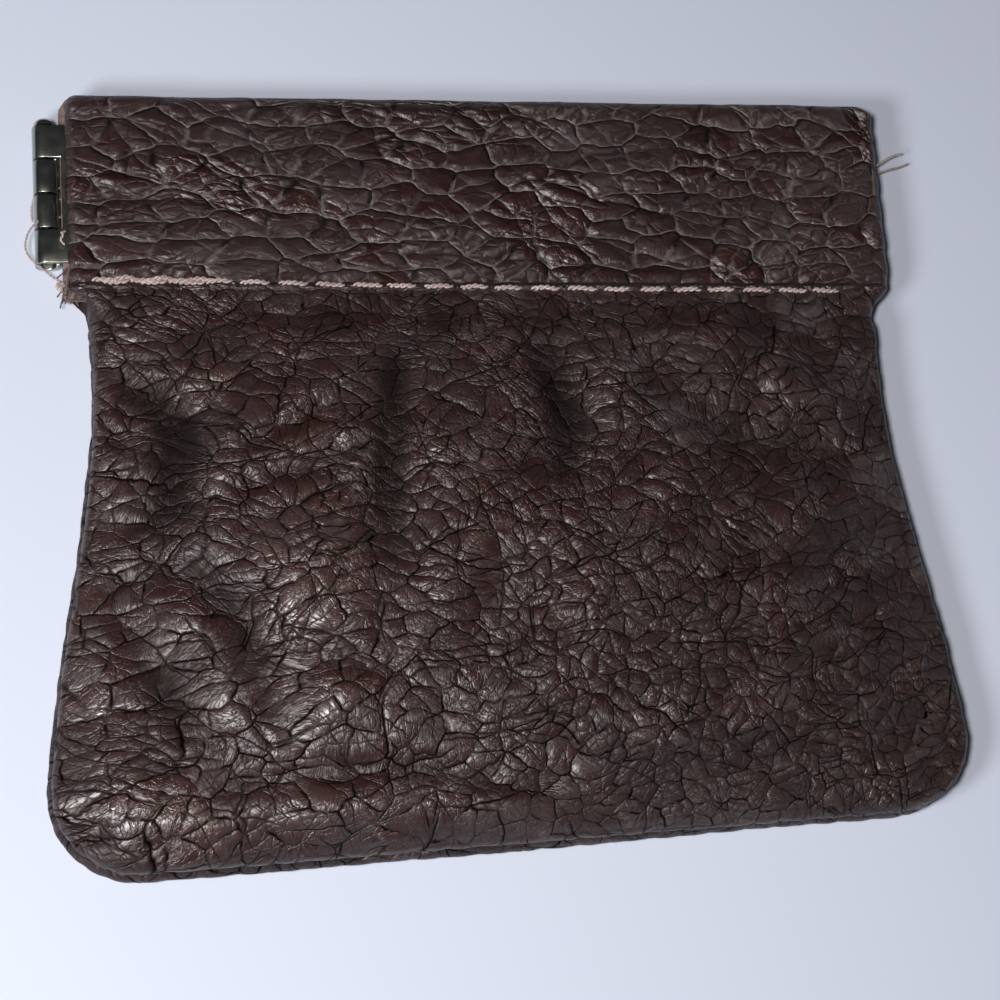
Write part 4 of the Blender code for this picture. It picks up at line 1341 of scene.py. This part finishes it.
    def pin(self, end: End) -> bpy.types.Object:
        """A pin with a domed head at the mouth and a rounded plain end."""
        name = f"{end.name.lower()}_hinge_pin"
        low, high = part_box(name)
        head_radius = (high.x - low.x) / 2
        neck = high.y - self.head_height
        bpy.ops.object.select_all(action="DESELECT")
        bpy.ops.mesh.primitive_cylinder_add(
            vertices=40, radius=self.shank, depth=high.y - low.y - self.head_height,
            location=(SHAPE.pin_x[end], (low.y + high.y - self.head_height) / 2, SHAPE.parting),
            rotation=(-math.pi / 2, 0, 0))
        piece = bpy.context.object
        bpy.ops.object.transform_apply(location=True, rotation=True, scale=True)
        mesh = piece.data
        bpy.ops.object.mode_set(mode="EDIT")
        bpy.ops.mesh.select_mode(type="FACE")
        bpy.ops.mesh.select_all(action="DESELECT")
        bpy.ops.object.mode_set(mode="OBJECT")
        for polygon in mesh.polygons:
            polygon.select = polygon.normal.y > 0.9
        bpy.ops.object.mode_set(mode="EDIT")
        rings = [(head_radius, 0.0), (head_radius, self.head_edge)]
        rings += [(head_radius * math.cos(turn), self.head_edge + (1 - self.head_edge) * math.sin(turn))
                  for turn in np.linspace(0, math.pi / 2, 7)[1:-1]]
        at, width = 0.0, self.shank
        for radius, share in rings:
            rise = (share - at) * self.head_height
            bpy.ops.mesh.extrude_region_move(TRANSFORM_OT_translate={"value": (0, rise, 0)})
            grow = radius / width
            bpy.ops.transform.resize(value=(grow, 1, grow),
                                     center_override=(SHAPE.pin_x[end], neck, SHAPE.parting))
            at, width = share, radius
        finish_metal(piece, self.pin_material)
        piece.name = mesh.name = f"{end.name.lower()}_domed_pin"
        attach(piece, "hinge_pins")
        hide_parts(name)
        return piece

    def build(self) -> list[bpy.types.Object]:
        """Makes every piece of the frame."""
        pieces = []
        for face in Face:
            pieces.append(self.strip(face))
            pieces += [self.knuckles(face, end) for end in End]
        return pieces + [self.pin(end) for end in End]


# Thread.

# Nearly a full turn, in radians: the range of the angles that stitches start at.
START_TURNS = 6.28


@dataclass
class Spun:
    """A thread of twisted plies, laid along paths as one mesh."""

    name: str
    radius: float
    plies: int = 2
    turn: float = 1.35 * MM
    step: float = 0.11 * MM
    sides: int = 1
    ply_radius: float = 0.52
    ply_offset: float = 0.54

    def __post_init__(self) -> None:
        """Starts the curve that the plies go into."""
        self.curve = bpy.data.curves.new(self.name, "CURVE")
        self.curve.dimensions = "3D"
        self.curve.bevel_resolution = self.sides
        self.curve.use_fill_caps = True
        self.curve.bevel_depth = self.radius * (self.ply_radius if self.plies > 1 else 1.0)

    def lay(self, path: np.ndarray, start: float = 0.0) -> None:
        """Lays the thread along a path.

        Args:
            path: Points of the path.
            start: Angle that the plies start at.
        """
        runs = np.linalg.norm(np.diff(path, axis=0), axis=1)
        far = np.concatenate([[0.0], np.cumsum(runs)])
        count = max(4, int(far[-1] / self.step) + 1)
        at = np.linspace(0.0, far[-1], count)
        middle = np.stack([np.interp(at, far, path[:, axis]) for axis in range(3)], axis=1)
        way = np.gradient(middle, axis=0)
        way /= np.maximum(np.linalg.norm(way, axis=1, keepdims=True), 1e-12)
        side = np.cross(way, (0.0, 0.0, 1.0))
        side /= np.maximum(np.linalg.norm(side, axis=1, keepdims=True), 1e-6)
        rise = np.cross(side, way)
        for ply in range(self.plies):
            points = middle
            if self.plies > 1:
                turn = start + 2 * np.pi * (ply / self.plies + at / self.turn)
                off = self.radius * self.ply_offset
                points = middle + off * (side * np.cos(turn)[:, None] + rise * np.sin(turn)[:, None])
            spline = self.curve.splines.new("POLY")
            spline.points.add(len(points) - 1)
            flat = np.concatenate([points, np.ones((len(points), 1))], axis=1)
            spline.points.foreach_set("co", flat.ravel())

    def finish(self, material: bpy.types.Material) -> bpy.types.Object:
        """Turns the curve into a smooth mesh piece."""
        piece = bpy.data.objects.new(self.name, self.curve)
        bpy.context.scene.collection.objects.link(piece)
        bpy.ops.object.select_all(action="DESELECT")
        piece.select_set(True)
        bpy.context.view_layer.objects.active = piece
        bpy.ops.object.convert(target="MESH")
        piece = bpy.context.object
        piece.data.shade_smooth()
        piece.data.materials.clear()
        piece.data.materials.append(material)
        return piece


def sewn(spun: Spun, material: bpy.types.Material, face: Face | None) -> bpy.types.Object:
    """Finishes thread as a mesh piece, on one face or in the side seams."""
    piece = spun.finish(material)
    follow_mouth(piece, face)
    return piece


class Ground:
    """The height of a finished panel's outer leather."""

    far: float = 0.1

    def __init__(self, panel: bpy.types.Object, face: Face) -> None:
        self.tree = BVHTree.FromObject(panel, bpy.context.evaluated_depsgraph_get())
        self.sign = face.value

    def z(self, x: float, y: float) -> float:
        """Height of the outer leather over a place, or the parting plane beside the purse."""
        hit = self.tree.ray_cast((x, y, self.sign * self.far), (0, 0, -self.sign))
        return hit[0].z if hit[0] is not None else SHAPE.parting


@dataclass
class HemStitching:
    """The row of thick twisted thread that closes a casing, sewn over at its left end."""

    face: Face
    ground: Ground
    material: bpy.types.Material
    radius: float = 0.26 * MM
    lift: float = 0.16 * MM
    sink: float = 0.42 * MM
    last: float = 40.9 * MM
    sewn_over: float = 13.0 * MM
    stray: float = 0.25 * MM
    sideways: float = 0.2 * MM
    shortest: float = 0.80
    spare: float = 0.08
    # The laps that are sewn over the row: how far along it each starts, in stitches, and how far off.
    laps: tuple[tuple[float, float], ...] = ((0.5, 0.30 * MM), (0.22, -0.26 * MM))
    lap_stitch: float = 0.9
    stations: int = 17
    arch_power: float = 0.45
    clearance: float = 1.1

    def stitch(self, spun: Spun, start: float, end: float, off: float, start_turn: float) -> None:
        """One stitch from hole to hole, arched over the leather between them."""
        line = SHAPE.stitch_y - SHAPE.height / 2
        points = []
        for share in np.linspace(0.0, 1.0, self.stations):
            x = start + (end - start) * share
            y = line + float(SHAPE.stitch_slant(x)) + off * (1 - 2 * abs(share - 0.5))
            arch = math.sin(math.pi * share) ** self.arch_power
            z = self.ground.z(x, y) + self.face.value * (self.lift * arch - self.sink * (1 - arch))
            # The thread stays above the table that the purse lies on.
            points.append((x, y, max(z, self.clearance * self.radius)))
        path = np.array(points)
        path[1:-1, 2] = (path[:-2, 2] + 2 * path[1:-1, 2] + path[2:, 2]) / 4
        spun.lay(path, start_turn)

    def build(self) -> bpy.types.Object:
        """Makes the whole row as one piece."""
        spun = Spun(f"{self.face.name.lower()}_hem_stitching", self.radius)
        pitch = SHAPE.stitch_pitch
        count = int((self.last - SHAPE.first_hole) / pitch)
        loose = hashed(4 * count, 21 + self.face.value)
        for index in range(count):
            start = SHAPE.first_hole + index * pitch + (loose[index] - 0.5) * self.stray
            end = start + pitch * (self.shortest + self.spare * loose[index + count])
            off = (loose[index + 2 * count] - 0.5) * self.sideways
            self.stitch(spun, start, end, off, START_TURNS * loose[index])
        for lap, (shift, off) in enumerate(self.laps):
            at = SHAPE.first_hole + shift * pitch
            while at < SHAPE.first_hole + self.sewn_over - lap * pitch:
                turn = START_TURNS * loose[int(at / pitch) % count]
                self.stitch(spun, at, at + self.lap_stitch * pitch, off, turn)
                at += pitch
        return sewn(spun, self.material, self.face)


@dataclass
class SeamStitching:
    """The thread that joins the panels: short ties across the groove, and the run along its bottom."""

    material: bpy.types.Material
    radius: float = 0.17 * MM
    run_radius: float = 0.20 * MM
    inset: float = 0.55 * MM
    reach: float = 0.75 * MM
    stray: float = 0.5 * MM
    lean: float = 0.5 * MM
    bulge: float = 0.12 * MM
    ties_end: float = 6.0 * MM
    run_end: float = 5.0 * MM
    run_points: int = 1200

    def length(self, end: float) -> float:
        """Length of the seam round the sides and bottom, up to a distance below the hem's stitches."""
        return 2 * (SHAPE.half_sheet() + (SHAPE.stitch_y - end))

    def groove(self, runs: np.ndarray) -> tuple[np.ndarray, np.ndarray]:
        """X and Y of places along the groove, at distances from the middle of the bottom."""
        half = SHAPE.half_sheet()
        far = np.abs(runs)
        x, y = SHAPE.place(np.where(far < half, runs, np.copysign(half, runs)), np.maximum(far - half, 0.0))
        return x, y - SHAPE.height / 2

    def build(self) -> bpy.types.Object:
        """Makes the ties round the sides and bottom as one piece."""
        spun = Spun("seam_stitching", self.radius, turn=0.7 * MM)
        total = self.length(self.ties_end)
        count = int(total / SHAPE.seam_pitch)
        loose = hashed(2 * count, 77)
        for index in range(count):
            run = (index + 0.5) * SHAPE.seam_pitch - total / 2
            run += (loose[index] - 0.5) * self.stray
            low = abs(run) < SHAPE.half_sheet()
            out = np.array([0.0, -1.0] if low else [math.copysign(1.0, run), 0.0])
            point = np.concatenate(self.groove(np.array([run]))) + out * self.inset
            lean = (loose[index + count] - 0.5) * self.lean
            path = []
            for share in np.linspace(-1.0, 1.0, 9):
                bulge = self.bulge * (1 - share ** 2)
                path.append((point[0] + out[0] * bulge + out[1] * lean * share,
                             point[1] + out[1] * bulge + out[0] * lean * share,
                             SHAPE.parting + share * self.reach))
            spun.lay(np.array(path), START_TURNS * loose[index])
        return sewn(spun, self.material, None)

    def along(self) -> bpy.types.Object:
        """Makes the thread that runs along the bottom of the groove."""
        spun = Spun("seam_thread_run", self.run_radius, plies=1, step=0.25 * MM)
        total = self.length(self.run_end)
        x, y = self.groove(np.linspace(-total / 2, total / 2, self.run_points))
        spun.lay(np.stack([x, y, np.full(len(x), SHAPE.parting)], axis=1))
        return sewn(spun, self.material, None)


@dataclass
class LooseEnds:
    """The loose threads at both ends of the casing, and the frayed corner of the hem at the left.
    Places are in millimetres."""

    thread: bpy.types.Material
    flesh: bpy.types.Material
    radius: float = 0.13 * MM
    fibres: int = 26
    fibre_radius: float = 0.085 * MM
    knot_radius: float = 0.24 * MM
    knot_place: tuple[float, float, float] = (-43.65, 19.7, 3.1)
    fray_place: tuple[float, float, float] = (-43.45, 18.9, 1.4)
    fray_spread: tuple[float, float, float] = (1.5, 2.2, 2.4)
    left_threads: tuple[tuple[tuple[float, float, float], ...], ...] = (
        ((-43.2, 27.6, 2.4), (-45.2, 27.2, 3.4), (-46.6, 25.9, 3.6), (-47.2, 24.2, 3.4), (-46.8, 23.0, 3.1),
         (-45.6, 22.0, 2.8), (-44.3, 20.9, 2.6), (-43.0, 20.3, 2.2)),
        ((-43.1, 25.4, 4.1), (-43.6, 25.1, 4.5), (-43.3, 24.7, 4.8), (-43.7, 24.3, 4.6),
         (-43.2, 23.9, 4.2)),
        ((-43.2, 30.9, 2.2), (-45.8, 30.6, 1.6), (-46.3, 29.2, 1.2), (-46.2, 27.8, 0.6)),
    )
    right_threads: tuple[tuple[tuple[float, float, float], ...], ...] = (
        ((41.9, 33.6, 2.6), (43.6, 34.1, 2.7), (44.6, 34.9, 2.4), (45.8, 35.6, 1.9), (46.9, 36.0, 1.4)),
        ((41.9, 33.0, 2.4), (43.7, 33.4, 2.2), (44.9, 34.0, 1.7), (46.4, 34.5, 1.1), (47.8, 35.2, 0.5)),
    )

    def eased(self, corners: Sequence[tuple[float, float, float]]) -> np.ndarray:
        """A smooth path through corners given in millimetres."""
        path = np.array(corners) * MM
        for _ in range(3):
            early = 0.75 * path[:-1] + 0.25 * path[1:]
            late = 0.25 * path[:-1] + 0.75 * path[1:]
            path = np.concatenate([path[:1], np.stack([early, late], axis=1).reshape(-1, 3), path[-1:]])
        return path

    def threads(self, end: End) -> bpy.types.Object:
        """The loose threads at one end."""
        spun = Spun(f"{end.name.lower()}_loose_threads", self.radius, turn=0.8 * MM)
        for number, corners in enumerate(self.left_threads if end is End.LEFT else self.right_threads):
            spun.lay(self.eased(corners), 1.7 * number)
        return sewn(spun, self.thread, None)

    def frays(self) -> bpy.types.Object:
        """Short torn fibres of raw leather at the lower left corner of the hem."""
        spun = Spun("frayed_hem_corner", self.fibre_radius, plies=1, step=0.15 * MM)
        (left, low, floor), (wide, tall, deep) = self.fray_place, self.fray_spread
        for loose in hashed(6 * self.fibres, 31).reshape(6, self.fibres).T:
            x = left + wide * loose[0]
            y = low + tall * loose[1] * (1 - loose[0] * 0.5)
            z = floor + deep * loose[2]
            lean = (loose[3] - 0.65) * 1.1
            fall = 0.5 + 1.0 * loose[4]
            corners = ((x + 0.3, y + 0.5, z), (x, y, z + 0.1), (x + lean * 0.5, y - fall * 0.5, z + 0.2),
                       (x + lean, y - fall, z - 0.2 + 0.5 * loose[5]))
            spun.lay(self.eased(corners))
        return sewn(spun, self.flesh, None)

    def knot(self) -> bpy.types.Object:
        """The small hard knot under the left hinge."""
        spun = Spun("left_thread_knot", self.knot_radius, plies=3, turn=0.9 * MM)
        turns = np.linspace(0.0, 1.6 * np.pi, 14)
        x, y, z = self.knot_place
        ring = np.stack([x + 0.33 * np.cos(turns), y + 0.38 * np.sin(turns), z + 0.12 * turns], axis=1)
        spun.lay(ring * MM)
        return sewn(spun, self.thread, None)

    def build(self) -> list[bpy.types.Object]:
        """Makes every loose end."""
        return [self.threads(end) for end in End] + [self.frays(), self.knot()]


# Stage.


@dataclass(frozen=True)
class Lamp:
    """A soft round lamp that points at the purse."""

    name: str
    place: tuple[float, float, float]
    size: float
    power: float
    colour: Colour

    def build(self) -> None:
        """Hangs the lamp."""
        bpy.ops.object.light_add(type="AREA", location=self.place)
        lamp = bpy.context.object
        lamp.name = self.name
        lamp.data.shape = "DISK"
        lamp.data.size = self.size
        lamp.data.energy = self.power
        lamp.data.color = self.colour
        lamp.rotation_euler = (-lamp.location).to_track_quat("-Z", "Y").to_euler()


@dataclass
class Studio:
    """The pale table, the soft lamps and the camera."""

    camera_place: tuple[float, float, float] = (-62.8 * MM, -96.9 * MM, 306.8 * MM)
    camera_turn: tuple[float, float, float] = (17.58, -10.45, -3.91)
    lens: float = 115.5
    sensor: float = 36.0
    table_size: float = 4.0
    table: Colour = (0.600, 0.635, 0.745)
    table_roughness: float = 0.6
    air: Colour = (0.80, 0.88, 1.0)
    air_strength: float = 0.04
    lamps: tuple[Lamp, ...] = (
        Lamp("key_lamp", (-0.105, -0.095, 0.33), 0.045, 0.92, (1.0, 0.98, 0.96)),
        Lamp("fill_lamp", (-0.20, -0.13, 0.22), 0.09, 0.60, (0.97, 0.98, 1.0)),
    )

    def floor(self) -> bpy.types.Object:
        """A pale, slightly blue table top."""
        bpy.ops.mesh.primitive_plane_add(size=self.table_size, location=(0, 0, 0))
        floor = bpy.context.object
        floor.name = "table_top"
        surface = Surface("pale_table")
        surface.shader.inputs["Base Color"].default_value = (*self.table, 1.0)
        surface.shader.inputs["Roughness"].default_value = self.table_roughness
        floor.data.materials.append(surface.material)
        return floor

    def build(self) -> None:
        """Sets up the stage."""
        self.floor()
        for lamp in self.lamps:
            lamp.build()
        world = bpy.data.worlds.new("studio_world")
        world.use_nodes = True
        background = world.node_tree.nodes["Background"]
        background.inputs["Color"].default_value = (*self.air, 1.0)
        background.inputs["Strength"].default_value = self.air_strength
        bpy.context.scene.world = world
        bpy.ops.object.camera_add(location=self.camera_place)
        camera = bpy.context.object
        camera.name = "photo_camera"
        camera.rotation_euler = [math.radians(angle) for angle in self.camera_turn]
        camera.data.sensor_width = self.sensor
        camera.data.lens = self.lens
        bpy.context.scene.camera = camera
        bpy.context.scene.view_settings.view_transform = "Standard"


def main() -> None:
    """Builds the purse, dresses it and sets the stage."""
    logging.basicConfig(level=logging.INFO, format="%(message)s")
    bpy.ops.object.select_all(action="DESELECT")
    Studio().build()
    grain = GrainLeather().build()
    flesh = FleshLeather().build()
    strip_steel = Nickel("nickel_plated_strip", (0.36, 0.37, 0.33), (0.45, 0.43, 0.36), 0.22).build()
    pin_steel = Nickel("nickel_plated_pin", (0.46, 0.45, 0.39), (0.60, 0.55, 0.42), 0.16).build()
    hem_thread = Thread("pinkish_hem_thread", (0.74, 0.62, 0.59), (0.22, 0.14, 0.125)).build()
    seam_thread = Thread("brown_seam_thread", (0.22, 0.16, 0.14), (0.05, 0.033, 0.03)).build()
    pieces = []
    for face in Face:
        panel = LeatherPanel(face, grain, flesh).build()
        pieces.append(panel)
        pieces.append(HemStitching(face, Ground(panel, face), hem_thread).build())
    seam = SeamStitching(seam_thread)
    pieces += [seam.build(), seam.along()]
    pieces += LooseEnds(hem_thread, flesh).build()
    pieces += SpringFrame(strip_steel, pin_steel).build()
    for piece in pieces:
        LOG.info("%s: %d faces", piece.name, len(piece.data.polygons))


if __name__ == "__main__":
    main()
